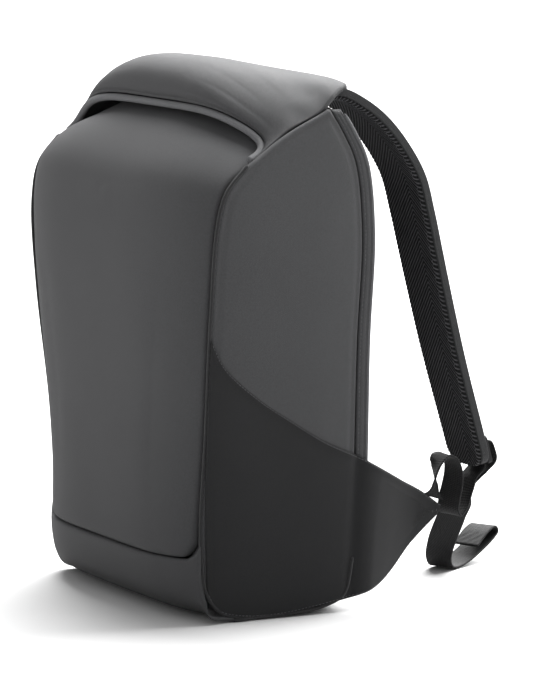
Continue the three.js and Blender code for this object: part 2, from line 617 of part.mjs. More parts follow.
// Ladder lock: a frame with three cross bars, flat on the strap
function ladderLock() {
  const half = LOCK_WIDTH / 2;
  const tall = LOCK_HEIGHT / 2;
  const round = 3;
  const plate = new THREE.Shape();
  plate.moveTo(-half + round, -tall);
  plate.lineTo(half - round, -tall);
  plate.quadraticCurveTo(half, -tall, half, -tall + round);
  plate.lineTo(half, tall - round);
  plate.quadraticCurveTo(half, tall, half - round, tall);
  plate.lineTo(-half + round, tall);
  plate.quadraticCurveTo(-half, tall, -half, tall - round);
  plate.lineTo(-half, -tall + round);
  plate.quadraticCurveTo(-half, -tall, -half + round, -tall);
  const slot = (LOCK_HEIGHT - 3 * LOCK_BAR) / 2;
  for (const low of [-tall + LOCK_BAR, LOCK_BAR / 2]) {
    const hole = new THREE.Path();
    const wide = half - LOCK_RIM;
    hole.moveTo(-wide, low);
    hole.lineTo(-wide, low + slot);
    hole.lineTo(wide, low + slot);
    hole.lineTo(wide, low);
    hole.closePath();
    plate.holes.push(hole);
  }
  const geometry = new THREE.ExtrudeGeometry(plate, { depth: LOCK_THICKNESS, bevelEnabled: false, curveSegments: 4 });
  return geometry.rotateX(Math.PI / 2).translate(0, LOCK_THICKNESS / 2, 0);
}

function cloth(colour, roughness) {
  return new THREE.MeshStandardMaterial({ color: colour, roughness, metalness: 0 });
}

const backpack = new THREE.Group();

function add(name, geometry, material, parent = backpack) {
  const mesh = new THREE.Mesh(geometry, material);
  mesh.name = name;
  parent.add(mesh);
  return mesh;
}

const shell = cloth(COLOURS.shell, 0.75);
const wingCloth = cloth(COLOURS.wing, 0.85);
const meshCloth = cloth(COLOURS.mesh, 0.95);

add("front_panel", settled(band(FRONT_RIBS, 14, 20, FRONT_PADDING, bandInset)), shell);
add("base_panel", settled(band(BASE_RIBS, 14, 18, BASE_CLOTH, bandInset, true)), shell);
add("top_flap", settled(band(FLAP_RIBS, 18, 16, FLAP_CLOTH, bandInset)), shell);
add("back_panel", settled(band(BACK_RIBS, 10, 12, BACK_PADDING, GUSSET_CLOTH + SEAM_GAP, true)), meshCloth);
add("flap_binding", settled(binding()), cloth(COLOURS.binding, 0.7));

for (const { name, mirror, lean } of [
  { name: "right", mirror: 1, lean: 0 },
  { name: "left", mirror: -1, lean: LEFT_STRAP_LEAN },
]) {
  add(`side_panel_${name}`, settled(sidePanel(), mirror), shell);
  add(`back_gusset_${name}`, settled(gusset(), mirror), shell);
  add(`side_wing_${name}`, settled(wing(), mirror), wingCloth);
  const cover = strapLayer(lean, strapMiddle + SEAM_GAP, strapOuter, 0);
  const mesh = strapLayer(lean, strapInner, strapMiddle, 1.5);
  add(`shoulder_strap_${name}`, settled(cover, mirror), shell);
  add(`strap_mesh_${name}`, settled(mesh, mirror), meshCloth);
  add(`webbing_${name}`, settled(webbing(name, lean), mirror), cloth(COLOURS.webbing, 0.9));
  const place = lockPlace(lean);
  place.position.x *= mirror;
  const turn = new THREE.Group();
  turn.rotation.z = twistAt(place.position.z);
  turn.add(place);
  backpack.add(turn);
  add(`ladder_lock_${name}`, ladderLock(), cloth(COLOURS.plastic, 0.45), place);
}

export default backpack;
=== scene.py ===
"""Anti theft backpack: cloth, padding, stitching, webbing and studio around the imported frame, in metres."""

import json
import math

import bmesh
import bpy
import numpy as np
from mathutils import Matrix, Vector
from mathutils.kdtree import KDTree

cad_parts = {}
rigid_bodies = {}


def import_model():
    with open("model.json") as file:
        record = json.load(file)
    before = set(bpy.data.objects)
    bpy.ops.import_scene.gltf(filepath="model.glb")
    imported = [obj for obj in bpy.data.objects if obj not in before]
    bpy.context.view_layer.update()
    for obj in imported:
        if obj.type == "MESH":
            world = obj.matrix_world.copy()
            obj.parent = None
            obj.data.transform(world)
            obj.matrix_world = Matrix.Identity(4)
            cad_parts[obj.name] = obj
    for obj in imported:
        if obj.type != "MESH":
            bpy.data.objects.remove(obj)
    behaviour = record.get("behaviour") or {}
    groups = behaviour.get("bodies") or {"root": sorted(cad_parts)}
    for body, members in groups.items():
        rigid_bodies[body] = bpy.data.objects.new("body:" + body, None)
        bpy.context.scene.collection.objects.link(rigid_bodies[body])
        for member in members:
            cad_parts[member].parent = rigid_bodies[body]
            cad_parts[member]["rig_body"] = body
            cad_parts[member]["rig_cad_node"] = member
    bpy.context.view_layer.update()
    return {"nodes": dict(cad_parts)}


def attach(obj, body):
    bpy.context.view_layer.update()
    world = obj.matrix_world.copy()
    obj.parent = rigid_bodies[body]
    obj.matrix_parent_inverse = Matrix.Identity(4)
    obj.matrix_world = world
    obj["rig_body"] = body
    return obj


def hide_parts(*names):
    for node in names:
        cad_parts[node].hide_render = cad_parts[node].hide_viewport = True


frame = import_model()

MM = 0.001
SIDES = (("right", 1), ("left", -1))

# Sizes of the body, in metres, the same as the solids'
SIDE_HEIGHT = 0.416
SIDE_DEPTH = 0.138
BASE_HALF_WIDTH = 0.138
SHOULDER_HALF_WIDTH = 0.150
SHOULDER_HEIGHT = 0.320
BODY_TWIST = math.radians(5.7)
TWIST_FROM = 0.040
TWIST_TO = 0.400
SIDE_CROWN = 0.003
BAND_INSET = 0.0040
LEFT_BOW = 0.3
BASE_SIDE_REACH = 0.0075

# Thickness of the panels' cloth and padding, in metres
FRONT_THICKNESS = 0.0036
BASE_THICKNESS = 0.003
FLAP_THICKNESS = 0.0026
SIDE_THICKNESS = 0.0034
GUSSET_THICKNESS = 0.0028
BACK_THICKNESS = 0.0075
WING_THICKNESS = 0.0015

# Seam pipings (the side seams' cord dark as painted shade in the seam), gusset, binding and the furrows in
# the back panel
GUSSET_WIDTH = 0.0092
SEAM_PIPING_RADIUS = 0.0015
BACK_PIPING_RADIUS = 0.0013
BINDING_RADIUS = 0.003
BINDING_GAP = 0.0032
BACK_CHANNEL_WIDTH = 0.012
BACK_FURROW_WIDTH = 0.007
BACK_FURROW_HEIGHTS = (0.15, 0.25, 0.34)

# Straps, webbing and locks
STRAP_WIDTH = 0.059
STRAP_MESH = 0.0022
MESH_RIB_PITCH = 0.00395
MESH_RIB_HEIGHT = 0.0011
STRAP_THICKNESS = 0.0092
STRAP_X = 0.083
STRAP_ROOT = (0.056, 0.4228)
STRAP_LENGTH = 0.375
LEFT_LEAN = math.radians(15)
WEBBING_WIDTH = 0.025
WEBBING_THICKNESS = 0.0017

# Camera of the photograph
AZIMUTH = math.radians(63)
ELEVATION = math.radians(8)
DISTANCE = 4.3333
TARGET = Vector((0.0272, 0.0534, 0.2074))
LENS = 271.3
SENSOR = 36

# Broad light above: direction to its middle, spread and strength, and the strength of the light all round
TO_SUN = (-0.42, 0.55, 0.72)
SUN_SPREAD = math.radians(72)
SUN_ENERGY = 8.6
AROUND_STRENGTH = 0.4

# Side outline: share of SIDE_DEPTH behind the centre, share of SIDE_HEIGHT above the floor
FRONT_SEAM = [
    (-0.07, 0.008),
    (-0.33, 0.016),
    (-0.45, 0.058),
    (-0.486, 0.13),
    (-0.5, 0.368),
    (-0.535, 0.601),
    (-0.533, 0.774),
    (-0.48, 0.846),
    (-0.336, 0.899),
]
FLAP_SEAM = [(-0.336, 0.899), (-0.060, 0.957), (0.230, 1.0)]
BACK_SEAM = [
    (0.152, 0.008),
    (0.333, 0.016),
    (0.457, 0.036),
    (0.514, 0.108),
    (0.514, 0.288),
    (0.478, 0.553),
    (0.475, 0.757),
    (0.42, 0.889),
    (0.326, 0.952),
    (0.23, 1),
]

# Ribs across the bag: depth and height beside a side panel, the same in the middle, squareness, bow back
FRONT_RIBS = [
    (0.52, 0.11, 0.58, 0.09, 6, 0),
    (0.51, 0.075, 0.56, 0.04, 6, 0),
    (0.46, 0.038, 0.5, 0.008, 6, 0),
    (0.33, 0.018, 0.37, 0, 8, 0),
    (0.13, 0.005, 0.15, 0, 10, 0),
    (-0.13, 0.003, -0.16, 0, 10, 0),
    (-0.31, 0.003, -0.3, 0.001, 10, 0.15),
    (-0.41, 0.006, -0.43, 0.01, 9, 0.25),
    (-0.46, 0.017, -0.52, 0.024, 8, 0.2),
    (-0.487, 0.042, -0.6, 0.05, 6.5, 0.08),
    (-0.498, 0.085, -0.64, 0.084, 5.5, 0),
    (-0.503, 0.129, -0.66, 0.126, 5, 0),
    (-0.495, 0.245, -0.655, 0.245, 4.6, 0),
    (-0.505, 0.4, -0.66, 0.4, 4.5, 0),
    (-0.53, 0.56, -0.685, 0.56, 4.3, 0),
    (-0.536, 0.697, -0.705, 0.7, 4.2, 0),
    (-0.523, 0.793, -0.69, 0.806, 4.5, 0),
    (-0.47, 0.853, -0.64, 0.877, 4.5, 0),
    (-0.345, 0.884, -0.5, 0.932, 4, 0),
    (-0.2, 0.892, -0.29, 0.967, 3.6, 0),
    (-0.08, 0.91, -0.08, 0.992, 3.6, 0),
]
LOWER_SEAM_ROW = 11

# The flap's ribs add how far they bow back near their right end and how much of the width they reach
FLAP_RIBS = [
    (-0.29, 0.912, -0.29, 1, 5, 0.3, 1),
    (-0.23, 0.924, -0.315, 1.026, 3.8, 0.24, 1),
    (-0.142, 0.942, -0.29, 1.055, 3, 0.14, 1),
    (-0.052, 0.96, -0.19, 1.075, 2.8, 0.05, 1),
    (0.06, 0.977, -0.02, 1.079, 3, 0, 1),
    (0.18, 0.994, 0.17, 1.067, 3.6, 0, 1),
    (0.28, 1.024, 0.35, 1.055, 4.4, 0, 0.985),
    (0.385, 1.038, 0.48, 1.046, 5, 0, 0.93),
    (0.47, 1.038, 0.57, 1.037, 5, 0, 0.85),
]
# Dents in the flap: place in metres, size and depth in millimetres
FLAP_DENTS = [(0.141, 0.0085, 0.411, 9, 1.6), (0.131, 0.030, 0.424, 14, 1.0)]

BACK_RIBS = [
    (0.582, 0.113, 0.6, 0.113, 4, 0),
    (0.582, 0.29, 0.62, 0.29, 4, 0),
    (0.545, 0.555, 0.6, 0.555, 4, 0),
    (0.538, 0.757, 0.58, 0.757, 4, 0),
    (0.488, 0.889, 0.545, 0.9, 4, 0),
    (0.405, 0.955, 0.45, 1.002, 5, 0),
]

# Wing: depth and height of its upper edge, of its lower edge, and how far it has swung to the tip
WING_ROWS = [
    (-0.53, 0.562, -0.45, 0.06, 0),
    (-0.43, 0.508, -0.38, 0.024, 0),
    (-0.19, 0.442, -0.19, 0.007, 0),
    (0.05, 0.392, 0.04, 0.006, 0),
    (0.29, 0.345, 0.27, 0.015, 0),
    (0.52, 0.311, 0.46, 0.025, 0),
    (0.68, 0.283, 0.63, 0.036, 0.1),
    (0.88, 0.249, 0.805, 0.062, 0.45),
    (1.08, 0.216, 1.002, 0.112, 0.8),
    (1.225, 0.183, 1.2, 0.164, 1),
]
WING_TIP_X = 0.112

# A strap's middle line: shares of STRAP_LENGTH behind and below its root
STRAP_ROUTE = [
    (0, 0),
    (0.037, 0.0008),
    (0.0888, 0.0243),
    (0.1421, 0.0619),
    (0.1955, 0.1195),
    (0.2432, 0.1941),
    (0.268, 0.2757),
    (0.2888, 0.3605),
    (0.3109, 0.4515),
    (0.3499, 0.6048),
    (0.3987, 0.7752),
    (0.419, 0.8485),
]

# Webbing over a lock's middle bar: millimetres out of the lock and up along the strap
LOCK_ROUTE = [
    (-4.2, -14),
    (-4.2, -4),
    (-2.5, 3.2),
    (0.5, 4.6),
    (4.2, 5.2),
    (7.8, 3.5),
    (9.2, -4),
    (8.4, -12),
]

# Webbing elsewhere, in millimetres: x, y, z, and the turn and rise of its width in degrees
RIGHT_LOAD = [
    (112.5, 160.8, 83.2, -90, 38),
    (112.5, 162, 87, -70, 22),
    (112, 163.2, 91.5, -46, 8),
    (111.2, 163.8, 96.5, -32, 0),
    (110.4, 164.5, 102.5, -24, 0),
    (109.7, 165.6, 108.8, -14, 0),
    (108.9, 168.2, 113.8, -5, 0),
    (107, 173, 116.8, 0, 0),
    (105.2, 180, 115.2, 0, 0),
    (103.6, 184.8, 108, 4, 0),
    (102.6, 186.2, 99, 9, 0),
    (101.4, 185.6, 90, 13, 0),
    (99.6, 184, 79, 15, 0),
    (98, 184, 70, 14, 0),
    (96, 188, 65, 12, 0),
    (94, 195, 69, 8, 0),
    (90, 203, 82, 4, 0),
    (86, 209.5, 92, 2, 0),
]
RIGHT_TAIL = [
    (80, 225, 98.5, 0, 0),
    (77, 217.5, 90, -5, 0),
    (70, 214, 82, 5, 0),
    (59, 216, 69, 17, 0),
    (50, 216, 59, 21, 0),
    (41, 217, 49, 24, 0),
    (30, 218, 36, 27, 0),
    (21, 219, 24, 29, 0),
    (14, 221, 12, 29, 0),
    (8, 227, 3.5, 29, 0),
    (1, 238, 1.6, 29, 0),
    (-6, 252, 4.8, 29, 0),
    (-15.5, 271, 12.5, 29, 0),
    (-22.5, 284, 19, 29, 0),
    (-25.2, 289.5, 24, 29, 0),
    (-23.5, 286.5, 28.6, 29, 0),
    (-17.8, 276, 26, 29, 0),
    (-10, 261, 15.5, 29, 0),
]
LEFT_LOAD = [
    (112.5, 160.8, 84.8, -90, 42),
    (112.5, 163.7, 89, -90, 28),
    (112.4, 165.6, 93.8, -90, 14),
    (112.2, 166.2, 98.9, -82, 0),
    (111.6, 166.3, 102.4, -60, 0),
    (110.8, 166.3, 106, -32, 0),
    (110, 166.4, 109.6, -9, 0),
    (109, 168.2, 113.8, 0, 0),
    (107.2, 173, 117, 0, 0),
    (105, 180, 115, 0, 0),
    (102, 184, 107, 0, 0),
    (98.5, 184, 96, 0, 0),
    (94.5, 180.5, 84, 0, 0),
    (90.5, 173.5, 74, 0, 0),
    (87, 164.5, 71, 0, 0),
    (84.5, 158, 77, 0, 0),
]
LEFT_TAIL = [
    (84, 142, 60, 0, 0),
    (83, 142, 34, 0, 0),
    (83, 140, 14, 0, 0),
    (83, 134, 4, 0, 0),
    (83, 125, 1.3, 0, 0),
    (83, 110, 1.2, 0, 0),
    (83, 94, 1.2, 0, 0),
]


# ---- Curves and grids ----


def smooth(x, low, high):
    t = np.clip((x - low) / (high - low), 0, 1)
    return t * t * (3 - 2 * t)


def mix(a, b, t):
    return a + (b - a) * t


def spline(points, t):
    """Centripetal Catmull-Rom curve through the points, t from 0 to 1 with an even share for each stretch."""
    p = np.asarray(points, float)
    p = np.vstack([2 * p[0] - p[1], p, 2 * p[-1] - p[-2]])
    t = np.atleast_1d(t)
    place = np.clip(t, 0, 1) * (len(points) - 1)
    k = np.minimum(place.astype(int), len(points) - 2)
    w = (place - k)[:, None]
    a, b, c, d = p[k], p[k + 1], p[k + 2], p[k + 3]
    gap = [np.sqrt(np.linalg.norm(q - r, axis=1))[:, None] for q, r in ((b, a), (c, b), (d, c))]
    ab, bc, cd = (np.maximum(g, 1e-5) for g in gap)
    start = ((b - a) / ab - (c - a) / (ab + bc) + (c - b) / bc) * bc
    end = ((c - b) / bc - (d - b) / (bc + cd) + (d - c) / cd) * bc
    return b + start * w + (3 * (c - b) - 2 * start - end) * w**2 + (2 * (b - c) + start + end) * w**3


def column(rows, index, t):
    values = np.array([row[index] for row in rows], float)
    return np.interp(np.clip(t, 0, 1) * (len(rows) - 1), np.arange(len(rows)), values)


def seam(rows, first=0):
    return [(0, row[first] * SIDE_DEPTH, row[first + 1] * SIDE_HEIGHT) for row in rows]


def half_width(z):
    return mix(BASE_HALF_WIDTH, SHOULDER_HALF_WIDTH, smooth(z, 0, SHOULDER_HEIGHT))


def depth_at(rows, z):
    points = spline(seam(rows), np.linspace(0, 1, 600))
    order = np.argsort(points[:, 2])
    return np.interp(z, points[order, 2], points[order, 1])


def settled(points, mirror=1):
    """The points mirrored for the left side, then turned about Z by the twist of the soft body."""
    p = np.array(points, float)
    p[..., 0] *= mirror
    angle = BODY_TWIST * smooth(p[..., 2], TWIST_FROM, TWIST_TO)
    x, y = p[..., 0].copy(), p[..., 1].copy()
    p[..., 0] = x * np.cos(angle) - y * np.sin(angle)
    p[..., 1] = x * np.sin(angle) + y * np.cos(angle)
    return p


def lengths(grid, axis):
    step = np.linalg.norm(np.diff(grid, axis=axis), axis=2)
    zero = np.zeros((1, grid.shape[1])) if axis == 0 else np.zeros((grid.shape[0], 1))
    return np.concatenate([zero, np.cumsum(step, axis=axis)], axis=axis)


EDGE_STATIONS = np.array([0, 0.4, 0.9, 1.5, 2.2, 3.0, 4.0, 5.3, 7.0, 9.2]) * MM


def respaced(grid, axis, count, edge=EDGE_STATIONS):
    """The grid resampled along an axis: close stations beside both ends, even ones between."""
    g = grid if axis == 1 else grid.transpose(1, 0, 2)
    run = lengths(g, 1)
    out = np.empty((g.shape[0], count + 2 * len(edge) - 2, 3))
    for i, (line, at) in enumerate(zip(g, run)):
        full = at[-1]
        near = edge * min(1, full / (2.5 * edge[-1]))
        between = np.linspace(near[-1], full - near[-1], count)[1:-1]
        stops = np.concatenate([near, between, (full - near)[::-1]])
        for k in range(3):
            out[i, :, k] = np.interp(stops, at, line[:, k])
    return out if axis == 1 else out.transpose(1, 0, 2)


def normals(grid, outwards):
    """Unit normals of a grid, all on the side of the vector outwards (one, or one a point)."""
    along = np.gradient(grid, axis=0)
    across = np.gradient(grid, axis=1)
    n = np.cross(across, along)
    n /= np.maximum(np.linalg.norm(n, axis=2, keepdims=True), 1e-12)
    side = np.sign((n * outwards).sum(axis=2).sum())
    return n * side


def line_distance(grid, line):
    """Distance of each point of a grid from a line of points."""
    run = np.concatenate([[0], np.cumsum(np.linalg.norm(np.diff(line, axis=0), axis=1))])
    stops = np.arange(0, run[-1], 0.15 * MM)
    tree = KDTree(len(stops))
    for k, point in enumerate(np.stack([np.interp(stops, run, line[:, i]) for i in range(3)], axis=1)):
        tree.insert(point, k)
    tree.balance()
    return np.array([tree.find(point)[2] for point in grid.reshape(-1, 3)]).reshape(grid.shape[:2])


def border_distance(grid, hidden_end=False):
    """Distance of each point of a grid from its border, the last row left out where it is hidden."""
    if hidden_end:
        rim = np.concatenate([grid[::-1, 0], grid[0, 1:], grid[1:, -1]])
    else:
        rim = np.concatenate([grid[0], grid[1:, -1], grid[-1, -2::-1], grid[-2::-1, 0]])
        rim = np.concatenate([rim, grid[:1, 0]])
    distance = line_distance(grid, rim)
    distance[0] = 0
    distance[:, [0, -1]] = 0
    if not hidden_end:
        distance[-1] = 0
    return distance


def groove(distance, place, width, depth):
    """Furrow that a row of stitches pulls into padded cloth at a distance from a seam."""
    return -depth * np.exp(-(((distance - place) / width) ** 2))


def ripples(points, scale, seed, waves=14):
    """Smooth random field from -1 to 1 whose swells are about scale apart."""
    rng = np.random.default_rng(seed)
    total = np.zeros(points.shape[:-1])
    for _ in range(waves):
        direction = rng.normal(size=3)
        direction *= 2 * math.pi / (scale * rng.uniform(0.7, 1.6) * np.linalg.norm(direction))
        total += np.sin(points @ direction + rng.uniform(0, 2 * math.pi))
    return total / math.sqrt(waves * 2)


def rolled(distance, radius):
    """Drop of an edge that turns in through a quarter circle."""
    d = np.minimum(distance, radius)
    return np.sqrt(np.maximum(radius**2 - (radius - d) ** 2, 0)) - radius


# ---- Meshes ----


def object_from(name, points, faces, uvs=None):
    mesh = bpy.data.meshes.new(name)
    mesh.from_pydata([tuple(p) for p in points], [], faces)
    if uvs is not None:
        layer = mesh.uv_layers.new(name="weave")
        corner = np.empty(len(mesh.loops), int)
        mesh.loops.foreach_get("vertex_index", corner)
        layer.data.foreach_set("uv", np.asarray(uvs, np.float32)[corner].ravel())
    work = bmesh.new()
    work.from_mesh(mesh)
    bmesh.ops.recalc_face_normals(work, faces=work.faces)
    for face in work.faces:
        face.smooth = True
    work.to_mesh(mesh)
    work.free()
    piece = bpy.data.objects.new(name, mesh)
    bpy.context.scene.collection.objects.link(piece)
    return piece


def grid_faces(rows, columns, start=0, turned=False):
    faces = []
    for j in range(rows - 1):
        for i in range(columns - 1):
            a = start + j * columns + i
            quad = (a, a + 1, a + 1 + columns, a + columns)
            faces.append(quad[::-1] if turned else quad)
    return faces


def shell(name, outer, inner, weave=None):
    """Closed sheet between two grids, with the weave measured in metres along it unless it is given."""
    rows, columns = outer.shape[:2]
    deep = rows * columns
    faces = grid_faces(rows, columns) + grid_faces(rows, columns, deep, True)
    ring = list(range(columns))
    ring += [j * columns + columns - 1 for j in range(1, rows)]
    ring += [(rows - 1) * columns + i for i in range(columns - 2, -1, -1)]
    ring += [j * columns for j in range(rows - 2, 0, -1)]
    for a, b in zip(ring, ring[1:] + ring[:1]):
        faces.append((a, a + deep, b + deep, b))
    middle = outer.shape[1] // 2
    u = lengths(outer, 1)
    u = u - u[:, middle : middle + 1]
    v = np.repeat(lengths(outer, 0)[:, middle : middle + 1], columns, axis=1)
    uv = (np.stack([u, v], axis=2) if weave is None else weave).reshape(-1, 2)
    points = np.concatenate([outer.reshape(-1, 3), inner.reshape(-1, 3)])
    return object_from(name, points, faces, np.concatenate([uv, uv]))


def padded_panel(
    name,
    grid,
    outwards,
    thickness,
    roll,
    puff=0,
    puff_width=0.01,
    flange=0,
    relief=0,
    mirror=1,
    hidden_end=False,
):
    """Panel whose edges turn in at its seams, and its outer face: relief is added along the normals."""
    n = normals(grid, outwards)
    edge = border_distance(grid, hidden_end)
    rise = puff * (1 - np.exp(-edge / puff_width)) + relief * np.minimum(edge / roll, 1)
    outer = settled(grid + n * (rolled(edge, roll) + rise)[..., None], mirror)
    depth = np.maximum(thickness + flange * np.exp(-edge / (2 * MM)), thickness)
    inner = settled(grid - n * (depth + roll * (edge < 0.1 * MM))[..., None], mirror)
    return shell(name, outer, inner), outer


def tube(name, path, radius, sides=12, mirror=1):
    """Round cord along a path, its ends rounded off."""
    p = np.asarray(path, float)
    tangent = np.gradient(p, axis=0)
    tangent /= np.linalg.norm(tangent, axis=1, keepdims=True)
    up = np.tile([0.0, 1.0, 0.0], (len(p), 1))
    up -= tangent * (up * tangent).sum(axis=1, keepdims=True)
    up /= np.linalg.norm(up, axis=1, keepdims=True)
    side = np.cross(tangent, up)
    angle = np.arange(sides) * 2 * math.pi / sides
    ring = up[:, None] * np.cos(angle)[None, :, None] + side[:, None] * np.sin(angle)[None, :, None]
    size = np.full(len(p), float(radius))
    for k, share in enumerate((0.35, 0.75, 0.93)):
        size[k] *= share
        size[-1 - k] *= share
    grid = p[:, None] + ring * size[:, None, None]
    return ring_mesh(name, settled(grid, mirror))


def ring_mesh(name, grid):
    """Closed mesh through rings of as many points each, capped at both ends."""
    rings, sides = grid.shape[:2]
    faces = []
    for j in range(rings - 1):
        for i in range(sides):
            a, b = j * sides + i, j * sides + (i + 1) % sides
            faces.append((a, b, b + sides, a + sides))
    faces.append(tuple(range(sides))[::-1])
    faces.append(tuple(range((rings - 1) * sides, rings * sides)))
    v = lengths(np.concatenate([grid, grid[:, :1]], axis=1), 0)[:, :-1].mean(axis=1, keepdims=True)
    u = lengths(np.concatenate([grid, grid[:, :1]], axis=1), 1)[:, :-1]
    uv = np.stack([u, np.repeat(v, sides, axis=1)], axis=2).reshape(-1, 2)
    return object_from(name, grid.reshape(-1, 3), faces, uv)


def stitches(name, lines, pitch=3.0 * MM, length=2.1 * MM, radius=0.32 * MM, seed=1):
    """Thread stitches as small lozenges along lines that already lie on the cloth."""
    rng = np.random.default_rng(seed)
    points, faces = [], []
    sides = 6
    angle = np.arange(sides) * 2 * math.pi / sides
    for line in lines:
        p = np.asarray(line, float)
        run = np.concatenate([[0], np.cumsum(np.linalg.norm(np.diff(p, axis=0), axis=1))])
        for s in np.arange(pitch / 2, run[-1] - length, pitch):
            s += rng.uniform(-0.15, 0.15) * MM
            ends = [np.array([np.interp(s + d * length, run, p[:, k]) for k in range(3)]) for d in (0, 1)]
            t = ends[1] - ends[0]
            if np.linalg.norm(t) < 1e-6:
                continue
            t /= np.linalg.norm(t)
            side = np.cross(t, [0.3, 0.5, 0.8])
            side /= np.linalg.norm(side)
            top = np.cross(t, side)
            first = len(points)
            for share, size in ((-0.02, 0.25), (0.15, 0.9), (0.5, 1.0), (0.85, 0.9), (1.02, 0.25)):
                centre = mix(ends[0], ends[1], share)
                for a in angle:
                    points.append(centre + radius * size * (side * math.cos(a) + top * math.sin(a)))
            for j in range(4):
                for i in range(sides):
                    a, b = first + j * sides + i, first + j * sides + (i + 1) % sides
                    faces.append((a, b, b + sides, a + sides))
            faces.append(tuple(first + i for i in range(sides))[::-1])
            faces.append(tuple(first + 4 * sides + i for i in range(sides)))
    return object_from(name, points, faces)


# ---- Padding ----


def padding_rise(name, grid, outwards, cap, frames=20):
    """How far a panel pinned at its seams swells under its padding's pressure, by cloth simulation."""
    picks = []
    for axis in (0, 1):
        run = lengths(grid, axis).mean(axis=1 - axis)
        even = np.linspace(0, run[-1], max(12, min(40, int(run[-1] / (9 * MM)))))
        picks.append(np.unique(np.searchsorted(run, even - 1e-9)))
    rows, columns = picks
    coarse = grid[np.ix_(rows, columns)]
    n = normals(coarse, outwards)
    faces = grid_faces(len(rows), len(columns))
    a, b, c = (coarse.reshape(-1, 3)[k] for k in faces[len(faces) // 2][:3])
    if np.cross(b - a, c - b) @ n[len(rows) // 2, len(columns) // 2] < 0:
        faces = [face[::-1] for face in faces]
    mesh = bpy.data.meshes.new(name)
    mesh.from_pydata([tuple(p) for p in coarse.reshape(-1, 3)], [], faces)
    panel = bpy.data.objects.new(name, mesh)
    bpy.context.scene.collection.objects.link(panel)
    pinned = panel.vertex_groups.new(name="seams")
    index = np.arange(coarse.shape[0] * coarse.shape[1]).reshape(coarse.shape[:2])
    rim = np.concatenate([index[0], index[-1], index[:, 0], index[:, -1]])
    pinned.add([int(k) for k in np.unique(rim)], 1, "ADD")
    cloth = panel.modifiers.new("padding", "CLOTH")
    cloth.settings.quality = 6
    cloth.settings.mass = 0.3
    cloth.settings.tension_stiffness = 15
    cloth.settings.compression_stiffness = 15
    cloth.settings.shear_stiffness = 5
    cloth.settings.bending_stiffness = 0.5
    cloth.settings.use_pressure = True
    cloth.settings.uniform_pressure_force = 4
    cloth.settings.effector_weights.gravity = 0
    cloth.settings.vertex_group_mass = "seams"
    cloth.point_cache.frame_start = 1
    cloth.point_cache.frame_end = frames
    for frame_number in range(1, frames + 1):
        bpy.context.scene.frame_set(frame_number)
    settled_mesh = panel.evaluated_get(bpy.context.evaluated_depsgraph_get()).data
    place = np.empty(len(settled_mesh.vertices) * 3, np.float32)
    settled_mesh.vertices.foreach_get("co", place)
    move = ((place.reshape(coarse.shape) - coarse) * n).sum(axis=2)
    bpy.context.scene.frame_set(1)
    bpy.data.objects.remove(panel)
    bpy.data.meshes.remove(mesh)
    across = np.array([np.interp(np.arange(grid.shape[1]), columns, line) for line in move])
    full = np.array([np.interp(np.arange(grid.shape[0]), rows, line) for line in across.T]).T
    return cap * np.tanh(np.maximum(full, 0) / cap)


# ---- Materials ----


def node(tree, kind, **settings):
    made = tree.nodes.new(kind)
    for key, value in settings.items():
        if key in made.inputs.keys():
            made.inputs[key].default_value = value
        else:
            setattr(made, key, value)
    return made


def maths(tree, operation, a, b=None):
    made = tree.nodes.new("ShaderNodeMath")
    made.operation = operation
    for k, value in enumerate((a, b)):
        if value is None:
            continue
        if isinstance(value, (int, float)):
            made.inputs[k].default_value = value
        else:
            tree.links.new(value, made.inputs[k])
    return made.outputs[0]


def ramp(tree, value, low, high, low_colour, high_colour):
    made = tree.nodes.new("ShaderNodeValToRGB")
    made.color_ramp.elements[0].position = low
    made.color_ramp.elements[1].position = high
    made.color_ramp.elements[0].color = (*low_colour, 1)
    made.color_ramp.elements[1].color = (*high_colour, 1)
    tree.links.new(value, made.inputs[0])
    return made.outputs[0]


